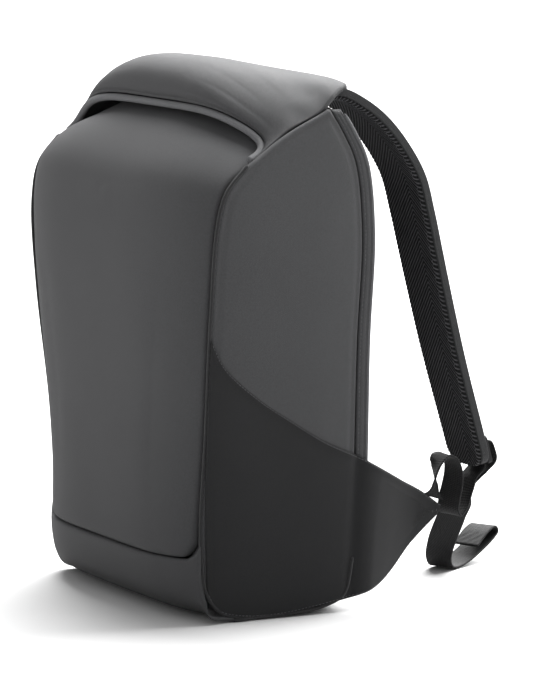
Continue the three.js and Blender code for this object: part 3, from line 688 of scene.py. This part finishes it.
def cloth_material(
    name,
    colour,
    thread=0.7 * MM,
    weave="plain",
    roughness=0.8,
    sheen=0.25,
    crest_and_hollow_shading=0.25,
    depth=0.2 * MM,
    blotch=0.10,
    grain=0.42,
    on_uv=True,
):
    """Woven cloth: threads from the weave coordinates in metres, painted shade in the weave's hollows and
    painted highlight on its crests, yarn and dye variation from noise.
    """
    material = bpy.data.materials.new(name)
    material.use_nodes = True
    tree = material.node_tree
    shader = tree.nodes["Principled BSDF"]
    place = node(tree, "ShaderNodeTexCoord").outputs["Object"]
    if on_uv:
        uv = node(tree, "ShaderNodeUVMap")
        uv.uv_map = "weave"
        split = node(tree, "ShaderNodeSeparateXYZ")
        tree.links.new(uv.outputs["UV"], split.inputs[0])
    else:
        split = node(tree, "ShaderNodeSeparateXYZ")
        tree.links.new(place, split.inputs[0])
    turn = 2 * math.pi / thread
    u = maths(tree, "MULTIPLY", split.outputs[0], turn)
    v = maths(tree, "MULTIPLY", split.outputs[1], turn)
    if weave == "plain":
        height = maths(tree, "MULTIPLY", maths(tree, "SINE", u), maths(tree, "SINE", v))
    elif weave == "twill":
        height = maths(tree, "SINE", maths(tree, "ADD", u, maths(tree, "MULTIPLY", v, 0.6)))
    elif weave == "ribbed":
        across = maths(tree, "SINE", v)
        along = maths(tree, "SINE", maths(tree, "MULTIPLY", u, 0.5))
        height = maths(tree, "ADD", across, maths(tree, "MULTIPLY", along, 0.35))
    elif weave == "padded_ribs":
        ribs = maths(tree, "SINE", maths(tree, "MULTIPLY", split.outputs[0], 2 * math.pi))
        rows = maths(tree, "SINE", maths(tree, "MULTIPLY", split.outputs[1], math.pi))
        holes = maths(tree, "ABSOLUTE", rows)
        crests = maths(tree, "POWER", maths(tree, "ADD", maths(tree, "MULTIPLY", ribs, 0.5), 0.5), 2.2)
        pierced = maths(tree, "MULTIPLY", maths(tree, "POWER", holes, 3.0), 0.3)
        open_ribs = maths(tree, "SUBTRACT", crests, pierced)
        height = maths(tree, "SUBTRACT", maths(tree, "MULTIPLY", open_ribs, 2.0), 1.0)
    elif weave == "mesh":
        dots = maths(tree, "MULTIPLY", maths(tree, "SINE", u), maths(tree, "SINE", v))
        height = maths(tree, "POWER", maths(tree, "ABSOLUTE", dots), 0.6)
    fine = node(tree, "ShaderNodeTexNoise", Scale=0.5 / thread, Detail=4, Roughness=0.75)
    large = node(tree, "ShaderNodeTexNoise", Scale=11.0, Detail=3, Roughness=0.55)
    for texture in (fine, large):
        tree.links.new(place, texture.inputs["Vector"])
    # Painted shade and highlight: the colour goes darker where the weave lies low and lighter where it stands
    # high.
    weight = maths(tree, "ADD", maths(tree, "MULTIPLY", height, 0.5), 0.5)
    dark = tuple(c * (1 - crest_and_hollow_shading) for c in colour)
    light = tuple(min(1, c * (1 + crest_and_hollow_shading * 0.6)) for c in colour)
    weave_shade_and_highlight = ramp(tree, weight, 0.0, 1.0, dark, light)
    shade = maths(
        tree,
        "ADD",
        maths(tree, "MULTIPLY", maths(tree, "SUBTRACT", large.outputs[0], 0.5), 2 * blotch),
        maths(tree, "MULTIPLY", maths(tree, "SUBTRACT", fine.outputs[0], 0.5), 2 * grain),
    )
    hsv = node(tree, "ShaderNodeHueSaturation")
    tree.links.new(weave_shade_and_highlight, hsv.inputs["Color"])
    tree.links.new(maths(tree, "ADD", shade, 1.0), hsv.inputs["Value"])
    tree.links.new(hsv.outputs[0], shader.inputs["Base Color"])
    rough = maths(tree, "ADD", maths(tree, "MULTIPLY", fine.outputs[0], 0.16), roughness - 0.08)
    tree.links.new(rough, shader.inputs["Roughness"])
    shader.inputs["Sheen Weight"].default_value = sheen
    shader.inputs["Sheen Roughness"].default_value = 0.55
    shader.inputs["Specular IOR Level"].default_value = 0.35
    bump = node(tree, "ShaderNodeBump", Strength=1.0, Distance=depth)
    relief = maths(tree, "ADD", weight, maths(tree, "MULTIPLY", fine.outputs[0], 0.8))
    tree.links.new(relief, bump.inputs["Height"])
    tree.links.new(bump.outputs[0], shader.inputs["Normal"])
    return material


def plastic_material(name, colour):
    material = bpy.data.materials.new(name)
    material.use_nodes = True
    tree = material.node_tree
    shader = tree.nodes["Principled BSDF"]
    place = node(tree, "ShaderNodeTexCoord").outputs["Object"]
    pits = node(tree, "ShaderNodeTexNoise", Scale=900.0, Detail=2)
    marks = node(tree, "ShaderNodeTexNoise", Scale=60.0, Detail=4)
    for texture in (pits, marks):
        tree.links.new(place, texture.inputs["Vector"])
    dark, light = (tuple(c * share for c in colour) for share in (0.8, 1.35))
    tree.links.new(ramp(tree, marks.outputs[0], 0.3, 0.75, dark, light), shader.inputs["Base Color"])
    rough = maths(tree, "ADD", maths(tree, "MULTIPLY", marks.outputs[0], 0.2), 0.35)
    tree.links.new(rough, shader.inputs["Roughness"])
    bump = node(tree, "ShaderNodeBump", Strength=0.5, Distance=0.1 * MM)
    tree.links.new(pits.outputs[0], bump.inputs["Height"])
    tree.links.new(bump.outputs[0], shader.inputs["Normal"])
    return material


SHELL = cloth_material("shell_cloth", (0.086, 0.0865, 0.0905), thread=0.75 * MM, roughness=0.66, sheen=0.12)
# Flap cloth: the shell cloth a little lighter, as painted light on the flap's top, which faces the light
# above.
FLAP_PAINTED_LIGHT_CLOTH = cloth_material("flap_cloth", (0.09, 0.0905, 0.0945), thread=0.75 * MM, roughness=0.62, sheen=0.12)
STRAP = cloth_material("strap_cloth", (0.055, 0.0555, 0.058), thread=0.75 * MM, roughness=0.7, sheen=0.1)
WING = cloth_material("wing_cloth", (0.025, 0.025, 0.0265), thread=0.8 * MM, weave="twill", sheen=0.08)
# Binding cloth: a lighter grey than the shell, raised further as a painted highlight on the flap's rolled
# hem; the back edge piping wears it too.
BINDING_TONE_AND_HIGHLIGHT = cloth_material("binding_cloth", (0.22, 0.221, 0.23), weave="ribbed", roughness=0.66, sheen=0.15)
MESH = cloth_material(
    "air_mesh",
    (0.017, 0.017, 0.0185),
    thread=1.9 * MM,
    weave="mesh",
    sheen=0.05,
    crest_and_hollow_shading=0.6,
    depth=0.35 * MM,
)
# Strap air mesh: the weave colour paints a strong highlight along each rib's crest and shade in the furrows
# between the ribs.
RIBBED_MESH_PAINTED_CRESTS = cloth_material(
    "ribbed_air_mesh_painted_crests", (0.085, 0.085, 0.09), weave="padded_ribs", roughness=0.78, sheen=0.05, crest_and_hollow_shading=0.95
)
WEBBING = cloth_material(
    "webbing_weave",
    (0.008, 0.008, 0.0088),
    thread=1.5 * MM,
    weave="ribbed",
    roughness=0.62,
    sheen=0.05,
    crest_and_hollow_shading=0.4,
    depth=0.3 * MM,
)
THREAD = cloth_material(
    "sewing_thread", (0.022, 0.022, 0.024), thread=0.5 * MM, weave="twill", on_uv=False, roughness=0.6
)
LIGHT_THREAD = cloth_material(
    "light_thread", (0.14, 0.14, 0.15), thread=0.5 * MM, weave="twill", on_uv=False, roughness=0.6
)
PLASTIC = plastic_material("lock_plastic", (0.011, 0.011, 0.012))


def finish_piece(piece, material, slot, *nodes):
    piece.data.materials.append(material)
    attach(piece, "root")
    if nodes:
        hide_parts(*nodes)


# ---- Body ----


def bow_at(u):
    """How far back a rib bows, for a bow of 1: most of all near its right end."""
    return SIDE_DEPTH * np.where(u > 0, 1, LEFT_BOW) * u**6 * (1 - u**14)


def rib_surface(rows, u, t, inset):
    """Points of a band across the bag: u from -1 to 1 across, t from 0 to 1 along its rows."""
    edge = spline(seam(rows, 0), t.ravel()).reshape(*t.shape, 3)
    middle = spline(seam(rows, 2), t.ravel()).reshape(*t.shape, 3)
    rise = 1 - np.abs(u) ** column(rows, 4, t)
    reach = column(rows, 6, t) if len(rows[0]) > 6 else 1
    bow = column(rows, 5, t) * bow_at(u)
    y = mix(edge[..., 1], middle[..., 1], rise) + bow
    z = np.maximum(mix(edge[..., 2], middle[..., 2], rise) - 0.3 * MM, 0)
    x = u * (half_width(edge[..., 2]) - inset) * reach
    return np.stack([x, y, z], axis=-1)


def band(rows, low, high, across, along, inset=BAND_INSET):
    """Grid of a band between two places along its rows, each a number or a function of u."""
    even = np.linspace(-1, 1, 161)
    u = mix(even, np.sin(even * math.pi / 2), 0.7)
    first = low(u) if callable(low) else np.full(len(u), low)
    last = high(u) if callable(high) else np.full(len(u), high)
    s = np.linspace(0, 1, 260)[:, None]
    t = mix(first[None], last[None], s)
    grid = rib_surface(rows, np.repeat(u[None], len(s), axis=0), t, inset)
    return respaced(respaced(grid, 1, across), 0, along)


def lower_seam(gap):
    """Place of the seam below the front panel, which turns up beside the corners."""
    def at(u):
        corner = np.clip((np.abs(u) - 0.9) / 0.1, 0, 1)
        return (LOWER_SEAM_ROW + 0.34 * corner**2.2 + gap) / (len(FRONT_RIBS) - 1)
    return at


front_grid = band(FRONT_RIBS, lower_seam(0.012), 1.0, 120, 140)
front, _ = padded_panel(
    "front_panel_cloth",
    front_grid,
    np.array([0, -1.0, 0.4]),
    FRONT_THICKNESS,
    4.6 * MM,
    puff=1.0 * MM,
    puff_width=9 * MM,
    flange=5 * MM,
    relief=padding_rise("front_padding", front_grid, np.array([0, -1.0, 0.4]), 1.6 * MM)
    + 0.45 * MM * ripples(front_grid, 0.16, 3)
    + 0.12 * MM * ripples(front_grid, 0.05, 4),
    hidden_end=True,
)
finish_piece(front, SHELL, "shell_fabric", "front_panel")

base_grid = band(FRONT_RIBS, 0.0, lower_seam(-0.012), 120, 70)
base_out = normals(base_grid, base_grid - np.array([0, 0, 0.05]))
base_edge = border_distance(base_grid)
base_lift = rolled(base_edge, 3.0 * MM) + 0.5 * MM * (1 - np.exp(-base_edge / (6 * MM)))
base_lift += 0.25 * MM * ripples(base_grid, 0.12, 7) * np.minimum(base_edge / (3 * MM), 1)
base_lift = np.where(base_grid[..., 2] < 0.8 * MM, 0, base_lift)
base_outer = base_grid + base_out * base_lift[..., None]
below = np.clip((depth_at(FRONT_SEAM, base_outer[..., 2]) + 3 * MM - base_outer[..., 1]) / (4 * MM), 0, 1)
below = np.maximum(below, np.clip((7 * MM - base_outer[..., 2]) / (4 * MM), 0, 1))
beside = smooth(np.abs(base_grid[..., 0]), 0.100, 0.136)
base_outer[..., 0] += np.sign(base_outer[..., 0]) * BASE_SIDE_REACH * below * beside
base_outer[..., 2] = np.maximum(base_outer[..., 2], 0)
base_inner = base_grid - base_out * (BASE_THICKNESS + 4 * MM * np.exp(-base_edge / (2 * MM)))[..., None]
base = shell("base_panel_cloth", settled(base_outer), settled(base_inner))
finish_piece(base, SHELL, "shell_fabric", "base_panel")

flap_grid = band(FLAP_RIBS, 0.0, 1.0, 130, 110)
hem_distance = lengths(flap_grid, 0)
flap_relief = 0.5 * MM * ripples(flap_grid, 0.11, 11) + 0.15 * MM * ripples(flap_grid, 0.04, 12)
flap_relief += padding_rise("flap_padding", flap_grid, np.array([0, -0.3, 1.0]), 1.0 * MM)
flap_relief += groove(hem_distance, 4 * MM, 0.9 * MM, 0.7 * MM)
flap_relief += groove(hem_distance, 1.6 * MM, 1.4 * MM, -0.5 * MM)
for x, y, z, size, deep in FLAP_DENTS:
    gap = np.linalg.norm(flap_grid - np.array([x, y, z]), axis=2)
    flap_relief -= deep * MM * np.exp(-((gap / (size * MM)) ** 2))
flap, flap_face = padded_panel(
    "top_flap_cloth",
    flap_grid,
    np.array([0, -0.3, 1.0]),
    FLAP_THICKNESS,
    1.4 * MM,
    puff=0.8 * MM,
    puff_width=9 * MM,
    relief=flap_relief,
)
finish_piece(flap, FLAP_PAINTED_LIGHT_CLOTH, "shell_fabric", "top_flap")
hem_thread = stitches("flap_hem_stitching", [flap_face[6, 2:-2]], pitch=3.2 * MM, length=2.4 * MM, seed=5)
finish_piece(hem_thread, THREAD, "shell_fabric")


def side_grid(across, along):
    foot = FRONT_SEAM[0][1] * SIDE_HEIGHT
    top = SIDE_HEIGHT - 1 * MM
    t = np.linspace(0, 1, 400)
    z = mix(foot, top, mix(t, 0.5 - 0.5 * np.cos(math.pi * t), 0.7))
    corner = FLAP_SEAM[0][1] * SIDE_HEIGHT
    front_y = np.where(z < corner, depth_at(FRONT_SEAM, z), depth_at(FLAP_SEAM, z))
    back_y = depth_at(BACK_SEAM, z)
    i = np.linspace(0, 1, 120)
    y = front_y[:, None] + (back_y - front_y)[:, None] * i[None]
    zz = np.repeat(z[:, None], len(i), axis=1)
    up = 2 * (zz - foot) / (SIDE_HEIGHT - foot) - 1
    swell = np.maximum(0, 1 - np.abs(2 * i[None] - 1) ** 4) * np.maximum(0, 1 - np.abs(up) ** 6)
    grid = np.stack([half_width(zz) + SIDE_CROWN * swell, y, zz], axis=-1)
    return respaced(respaced(grid, 1, across), 0, along)


side_base = side_grid(70, 120)
side_edge = border_distance(side_base)
side_padding = padding_rise("side_padding", side_base, np.array([1.0, 0, 0]), 1.2 * MM)
for side, mirror in SIDES:
    swells = 0.5 * MM * ripples(side_base, 0.14, 21 + mirror)
    swells += 0.12 * MM * ripples(side_base, 0.05, 24 + mirror)
    swells += side_padding + groove(side_edge, 6 * MM, 2.2 * MM, 0.7 * MM)
    piece, _ = padded_panel(
        f"side_panel_cloth_{side}",
        side_base,
        np.array([1.0, 0, 0]),
        SIDE_THICKNESS,
        3.0 * MM,
        puff=1.2 * MM,
        puff_width=3 * MM,
        relief=swells,
        mirror=mirror,
    )
    finish_piece(piece, SHELL, "shell_fabric", f"side_panel_{side}")


low_back = [(0, y, z) for _, y, z in seam(BACK_SEAM) if z < 0.2 * SIDE_HEIGHT]
seam_route = spline(seam(FRONT_SEAM)[::-1] + low_back, np.linspace(0, 1, 420))
seam_out = mix(1.6, -0.6, smooth(seam_route[:, 2], 0.03, 0.09)) * MM
seam_route[:, 0] = half_width(seam_route[:, 2]) + seam_out
# The side seams' cord takes the dark sewing thread colour: painted shade along the groove of each seam.
for side, mirror in SIDES:
    cord = tube(f"side_seam_piping_painted_shade_{side}", seam_route, SEAM_PIPING_RADIUS, sides=10, mirror=mirror)
    finish_piece(cord, THREAD, "binding_fabric")


def gusset_grid():
    z = np.linspace(0.115 * SIDE_HEIGHT, SIDE_HEIGHT - 2 * MM, 200)
    y = depth_at(BACK_SEAM, z) + 0.5 * MM
    s = np.linspace(0, 1, 14)
    grid = np.empty((len(z), len(s), 3))
    grid[..., 0] = half_width(z)[:, None]
    grid[..., 1] = y[:, None] + GUSSET_WIDTH * s[None]
    grid[..., 2] = z[:, None]
    return respaced(grid, 1, 6, EDGE_STATIONS[:6])


gusset_base = gusset_grid()
gusset_edge = border_distance(gusset_base)
for side, mirror in SIDES:
    piece, gusset_face = padded_panel(
        f"back_gusset_cloth_{side}",
        gusset_base,
        np.array([1.0, 0, 0]),
        GUSSET_THICKNESS,
        1.8 * MM,
        puff=0.6 * MM,
        puff_width=3 * MM,
        relief=groove(gusset_edge, 2.2 * MM, 0.7 * MM, 0.5 * MM),
        mirror=mirror,
    )
    finish_piece(piece, SHELL, "shell_fabric", f"back_gusset_{side}")
    line = [gusset_face[3:-3, 4]]
    seam_thread = stitches(
        f"gusset_stitching_{side}", line, pitch=3.4 * MM, length=2.0 * MM, radius=0.28 * MM, seed=31
    )
    finish_piece(seam_thread, LIGHT_THREAD, "shell_fabric")
    cord_path = gusset_base[2:-2, -1] + np.array([-0.6, 0.9, 0]) * MM
    cord = tube(f"back_edge_piping_{side}", cord_path, BACK_PIPING_RADIUS, sides=10, mirror=mirror)
    finish_piece(cord, BINDING_TONE_AND_HIGHLIGHT, "binding_fabric")

back_grid = band(BACK_RIBS, 0.0, 1.0, 80, 100, inset=3.6 * MM)
channel = np.exp(-((back_grid[..., 0] / BACK_CHANNEL_WIDTH) ** 2))
pads = -3.5 * MM * channel
for height in BACK_FURROW_HEIGHTS:
    rise = back_grid[..., 2] - height - 0.25 * np.abs(back_grid[..., 0])
    pads -= 2.2 * MM * np.exp(-((rise / BACK_FURROW_WIDTH) ** 2))
back, _ = padded_panel(
    "back_panel_mesh",
    back_grid,
    np.array([0, 1.0, 0]),
    BACK_THICKNESS,
    4 * MM,
    relief=pads + padding_rise("back_padding", back_grid, np.array([0, 1.0, 0]), 1.0 * MM),
    flange=2 * MM,
)
finish_piece(back, MESH, "air_mesh", "back_panel")

# ---- Flap's rolled edge ----


def flap_point(u, t):
    return rib_surface(FLAP_RIBS, np.atleast_1d(u).astype(float), np.atleast_1d(t).astype(float), BAND_INSET)


even = np.sin(math.pi * (np.linspace(0, 1, 160) - 0.5))
hem = flap_point(even, np.zeros(160))
tangent = np.gradient(hem, axis=0)
inward = np.stack([tangent[:, 2], np.zeros(160), -tangent[:, 0]], axis=1)
inward /= np.linalg.norm(inward, axis=1, keepdims=True)
forward = mix(0.17, 0.25, smooth(np.linspace(0, 1, 160), 0, 0.25)) * 2 * BINDING_RADIUS
piping = hem + inward * BINDING_GAP - np.stack([0 * forward, forward, 0 * forward], axis=1)
binding = tube("flap_binding_cloth", piping, BINDING_RADIUS, sides=16)
finish_piece(binding, BINDING_TONE_AND_HIGHLIGHT, "binding_fabric", "flap_binding")

# ---- Wings ----


def wing_grid(across, along):
    i = np.linspace(0, 1, 220)
    t = np.linspace(0, 1, 90)
    top = spline(seam(WING_ROWS, 0), i)
    low = spline(seam(WING_ROWS, 2), i)
    grid = low[None] + (top - low)[None] * t[:, None, None]
    swing = smooth(column(WING_ROWS, 4, i), 0, 1)[None]
    z = grid[..., 2]
    back_edge = depth_at(BACK_SEAM, z)
    front_edge = depth_at(FRONT_SEAM, z)
    y = np.minimum(grid[..., 1], back_edge)
    foot = FRONT_SEAM[0][1] * SIDE_HEIGHT
    share = 2 * (y - front_edge) / np.maximum(back_edge - front_edge, 1 * MM) - 1
    up = 2 * (z - foot) / (SIDE_HEIGHT - foot) - 1
    swell = np.maximum(0, 1 - np.abs(share) ** 4) * np.maximum(0, 1 - np.abs(up) ** 6)
    on_side = half_width(z) + SIDE_CROWN * swell + 2.9 * MM
    grid[..., 0] = mix(on_side, WING_TIP_X, swing)
    return respaced(respaced(grid, 1, across), 0, along)


wing_base = wing_grid(100, 60)
top_gap = line_distance(wing_base, wing_base[-1, ::6])
hem_roll = 0.45 * MM * np.exp(-(((top_gap - 2.5 * MM) / (2 * MM)) ** 2))
crease = wing_base[..., 1] - 0.071 - 0.03 * (wing_base[..., 2] - 0.1)
fold = 1.7 * np.exp(-((crease / 0.005) ** 2)) - 1.2 * np.exp(-(((crease - 0.014) / 0.009) ** 2))
for side, mirror in SIDES:
    piece, wing_face = padded_panel(
        f"side_wing_cloth_{side}",
        wing_base,
        np.array([1.0, 0, 0]),
        WING_THICKNESS,
        0.9 * MM,
        relief=hem_roll - MM * fold + 0.7 * MM * ripples(wing_base, 0.09, 41 + mirror),
        mirror=mirror,
    )
    finish_piece(piece, WING, "wing_fabric", f"side_wing_{side}")
    hems = [wing_face[-4, 2:-2], wing_face[3, 2:-2], wing_face[8:-8, -6], wing_face[8:-8, -9]]
    wing_thread = stitches(
        f"wing_stitching_{side}", hems, pitch=3.2 * MM, length=2.0 * MM, radius=0.25 * MM, seed=43
    )
    finish_piece(wing_thread, LIGHT_THREAD, "wing_fabric")

# ---- Straps ----


def strap_line(lean):
    points = [np.array([0.0, *STRAP_ROOT])]
    for k in range(1, len(STRAP_ROUTE)):
        step = np.array(STRAP_ROUTE[k], float) - np.array(STRAP_ROUTE[k - 1], float)
        y, z = step[0] * STRAP_LENGTH, -step[1] * STRAP_LENGTH
        turn = -lean * float(smooth(np.array(float(k)), 1, 7))
        y, z = y * math.cos(turn) - z * math.sin(turn), y * math.sin(turn) + z * math.cos(turn)
        points.append(points[-1] + np.array([0, y, z]))
    fine = spline(points, np.linspace(0, 1, 1200))
    run = np.concatenate([[0], np.cumsum(np.linalg.norm(np.diff(fine, axis=0), axis=1))])
    return fine, run


def strap_frames(lean, count):
    fine, run = strap_line(lean)
    at = np.linspace(0, run[-1], count)
    centre = np.stack([np.interp(at, run, fine[:, k]) for k in range(3)], axis=1)
    tangent = np.gradient(centre, axis=0)
    tangent /= np.linalg.norm(tangent, axis=1, keepdims=True)
    out = np.cross(np.array([1.0, 0, 0]), tangent)
    return centre, tangent, out, at, run[-1]


def end_cut(left, corner=14 * MM):
    """How much narrower a strap's half width is near its rounded end."""
    gap = np.clip(corner - left, 0, corner)
    return corner - np.sqrt(np.maximum(corner**2 - gap**2, 0))


STRAP_IN = -STRAP_THICKNESS / 2


def strap_cover(side, lean, mirror):
    centre, tangent, out, at, full = strap_frames(lean, 200)
    half = STRAP_WIDTH / 2 - end_cut(full - at)
    angle = np.linspace(0, 2 * math.pi, 49)[:-1]
    rings = []
    low, high = STRAP_IN + 2.4 * MM, -STRAP_IN
    for k in range(len(at)):
        ring = []
        mid, tall = (low + high) / 2, (high - low) / 2
        for a in angle:
            c, s = math.cos(a), math.sin(a)
            w = np.sign(c) * (1 - (1 - abs(c)) ** 2.6) ** 0.55 * half[k]
            n = mid + np.sign(s) * tall * (1 - (1 - abs(s)) ** 2.2) ** 0.5
            if s > 0:
                n += 0.9 * MM * (1 - (w / max(half[k], 1e-4)) ** 2)
            ring.append(centre[k] + out[k] * n + np.array([STRAP_X + w, 0, 0]))
        rings.append(ring)
    piece = ring_mesh(f"shoulder_strap_cover_{side}", settled(np.array(rings), mirror))
    finish_piece(piece, STRAP, "shell_fabric", f"shoulder_strap_{side}")


def strap_mesh(side, lean, mirror):
    """Face towards the back: air mesh whose ribs meet in a chevron nearer its outer edge."""
    centre, tangent, out, at, full = strap_frames(lean, 560)
    half = STRAP_WIDTH / 2 - 1.6 * MM - end_cut(full - at)
    w = half[:, None] * np.linspace(-1, 1, 60)[None]
    crest = 0.42 * half[:, None]
    run = np.where(w < crest, at[:, None] + (w - crest), at[:, None] - (w - crest))
    phase = run / MESH_RIB_PITCH
    rib = 0.5 + 0.5 * np.sin(2 * math.pi * phase)
    edge = (half[:, None] - np.abs(w)) + 0 * at[:, None]
    dome = rolled(edge, 2.2 * MM)
    depth = STRAP_MESH + dome + MESH_RIB_HEIGHT * rib**0.8 * np.clip(edge / (3 * MM), 0, 1)
    base_n = STRAP_IN + STRAP_MESH
    sideways = np.stack([STRAP_X + w, 0 * w, 0 * w], axis=-1)
    grid = centre[:, None] + out[:, None] * (base_n - depth)[..., None] + sideways
    inner = centre[:, None] + out[:, None] * base_n + sideways
    dots = (at[:, None] - w) / (2.4 * MM)
    outer = settled(grid, mirror)
    piece = shell(f"strap_mesh_face_{side}", outer, settled(inner, mirror), np.stack([phase, dots], axis=2))
    edge_lines = [outer[6:-12, -4], outer[6:-12, 3]]
    edge_thread = stitches(
        f"strap_stitching_{side}", edge_lines, pitch=3.4 * MM, length=1.8 * MM, radius=0.25 * MM, seed=51
    )
    finish_piece(edge_thread, LIGHT_THREAD, "air_mesh")
    finish_piece(piece, RIBBED_MESH_PAINTED_CRESTS, "air_mesh", f"strap_mesh_{side}")


# ---- Webbing and locks ----


def lock_place(lean):
    centre, tangent, out, at, full = strap_frames(lean, 1200)
    t = tangent[-1]
    angle = math.atan2(t[1], -t[2])
    lock_out = -STRAP_IN + 3.4 * MM + 2.0 * MM
    c, s = math.cos(angle), math.sin(angle)
    turn = np.array([[1, 0, 0], [0, c, -s], [0, s, c]])
    origin = centre[-1] + np.array([STRAP_X, 0, 0])
    return lambda o, u: origin + turn @ np.array([0, lock_out + o, 10 * MM + u])


def webbing(side, lean, load, tail, mirror, backwards):
    place = lock_place(lean)

    def spot(row):
        plan, lift = math.radians(row[3]), math.radians(row[4])
        width = (math.cos(lift) * math.cos(plan), math.cos(lift) * math.sin(plan), math.sin(lift))
        return np.array(row[:3]) * MM, np.array(width)

    over = [(place(o * MM, u * MM), np.array([1.0, 0, 0])) for o, u in LOCK_ROUTE]
    route = [spot(r) for r in load] + (over[::-1] if backwards else over) + [spot(r) for r in tail]
    count = 9 * (len(route) - 1)
    t = np.linspace(0, 1, count)
    centre = spline([p for p, _ in route], t)
    tangent = np.gradient(centre, axis=0)
    tangent /= np.linalg.norm(tangent, axis=1, keepdims=True)
    stretch = t * (len(route) - 1)
    rows = np.arange(len(route))
    width = np.stack([np.interp(stretch, rows, [w[k] for _, w in route]) for k in range(3)], axis=1)
    width -= tangent * (width * tangent).sum(axis=1, keepdims=True)
    width /= np.linalg.norm(width, axis=1, keepdims=True)
    out = np.cross(tangent, width)
    half, deep = WEBBING_WIDTH / 2, WEBBING_THICKNESS / 2
    section = [(-half, 0), (-half + 0.2 * MM, deep * 0.75), (-half + 0.9 * MM, deep * 1.1)]
    section += [(w, deep) for w in np.linspace(-half + 2 * MM, half - 2 * MM, 8)]
    section += [(half - 0.9 * MM, deep * 1.1), (half - 0.2 * MM, deep * 0.75), (half, 0)]
    section += [(w, -n) for w, n in section[-2:0:-1]]
    section = np.array(section)
    folded = 1 - 0.45 * np.exp(-(((stretch - 1.4) / 1.3) ** 2))
    breadth = width * folded[:, None]
    grid = centre[:, None] + breadth[:, None] * section[None, :, :1] + out[:, None] * section[None, :, 1:]
    piece = ring_mesh(f"webbing_strap_{side}", settled(grid, mirror))
    finish_piece(piece, WEBBING, "webbing_weave", f"webbing_{side}")


def lock(side):
    piece = frame["nodes"][f"ladder_lock_{side}"].copy()
    piece.data = piece.data.copy()
    piece.name = f"ladder_lock_moulding_{side}"
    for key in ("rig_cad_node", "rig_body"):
        if key in piece:
            del piece[key]
    piece.parent = None
    piece.data.materials.clear()
    bpy.context.scene.collection.objects.link(piece)
    work = bmesh.new()
    work.from_mesh(piece.data)
    bmesh.ops.remove_doubles(work, verts=work.verts, dist=0.02 * MM)
    bmesh.ops.dissolve_limit(work, angle_limit=math.radians(3), verts=work.verts, edges=work.edges)
    work.to_mesh(piece.data)
    work.free()
    bevel = piece.modifiers.new("rounding", "BEVEL")
    bevel.width = 0.7 * MM
    bevel.segments = 3
    bevel.limit_method = "ANGLE"
    finish_piece(piece, PLASTIC, "lock_plastic", f"ladder_lock_{side}")


for side, mirror, lean, load, tail, backwards in (
    ("right", 1, 0.0, RIGHT_LOAD, RIGHT_TAIL, False),
    ("left", -1, LEFT_LEAN, LEFT_LOAD, LEFT_TAIL, True),
):
    strap_cover(side, lean, mirror)
    strap_mesh(side, lean, mirror)
    webbing(side, lean, load, tail, mirror, backwards)
    lock(side)

# ---- Studio ----

FLOOR_REACH = 60.0
FLOOR_DROP = 0.2 * MM


def paper_material(name, seen, lit, roughness):
    """Pale paper, overexposed where the camera sees it and greyer in the light that it throws back."""
    material = bpy.data.materials.new(name)
    material.use_nodes = True
    tree = material.node_tree
    shader = tree.nodes["Principled BSDF"]
    ray = tree.nodes.new("ShaderNodeLightPath").outputs["Is Camera Ray"]
    tree.links.new(ramp(tree, ray, 0.0, 1.0, (lit,) * 3, (seen,) * 3), shader.inputs["Base Color"])
    shader.inputs["Roughness"].default_value = roughness
    shader.inputs["Specular IOR Level"].default_value = 0.2
    return material


floor_mesh = bpy.data.meshes.new("floor")
corners = [(x * FLOOR_REACH, y * FLOOR_REACH, 0) for x, y in ((-1, -1), (1, -1), (1, 1), (-1, 1))]
floor_mesh.from_pydata(corners, [], [(0, 1, 2, 3)])
floor_mesh.materials.append(paper_material("floor_paper", 0.95, 0.42, 0.9))
floor = bpy.data.objects.new("floor", floor_mesh)
floor.location.z = -FLOOR_DROP
bpy.context.scene.collection.objects.link(floor)

world = bpy.data.worlds.new("studio")
bpy.context.scene.world = world
world.use_nodes = True
world.node_tree.nodes["Background"].inputs[0].default_value = (1, 1, 1, 1)
world.node_tree.nodes["Background"].inputs[1].default_value = AROUND_STRENGTH
sun_data = bpy.data.lights.new("overhead_diffuser", "SUN")
sun_data.energy = SUN_ENERGY
sun_data.angle = SUN_SPREAD
sun = bpy.data.objects.new("overhead_diffuser", sun_data)
sun.rotation_euler = Vector(TO_SUN).to_track_quat("Z", "Y").to_euler()
bpy.context.scene.collection.objects.link(sun)
bpy.context.scene.view_settings.view_transform = "Standard"

camera_data = bpy.data.cameras.new("photo_camera")
camera_data.lens = LENS
camera_data.sensor_width = SENSOR
camera_data.clip_end = 200
camera = bpy.data.objects.new("photo_camera", camera_data)
towards = Vector(
    (math.sin(AZIMUTH) * math.cos(ELEVATION), -math.cos(AZIMUTH) * math.cos(ELEVATION), math.sin(ELEVATION))
)
camera.location = TARGET + DISTANCE * towards
camera.rotation_euler = (-towards).to_track_quat("-Z", "Y").to_euler()
bpy.context.scene.collection.objects.link(camera)
bpy.context.scene.camera = camera
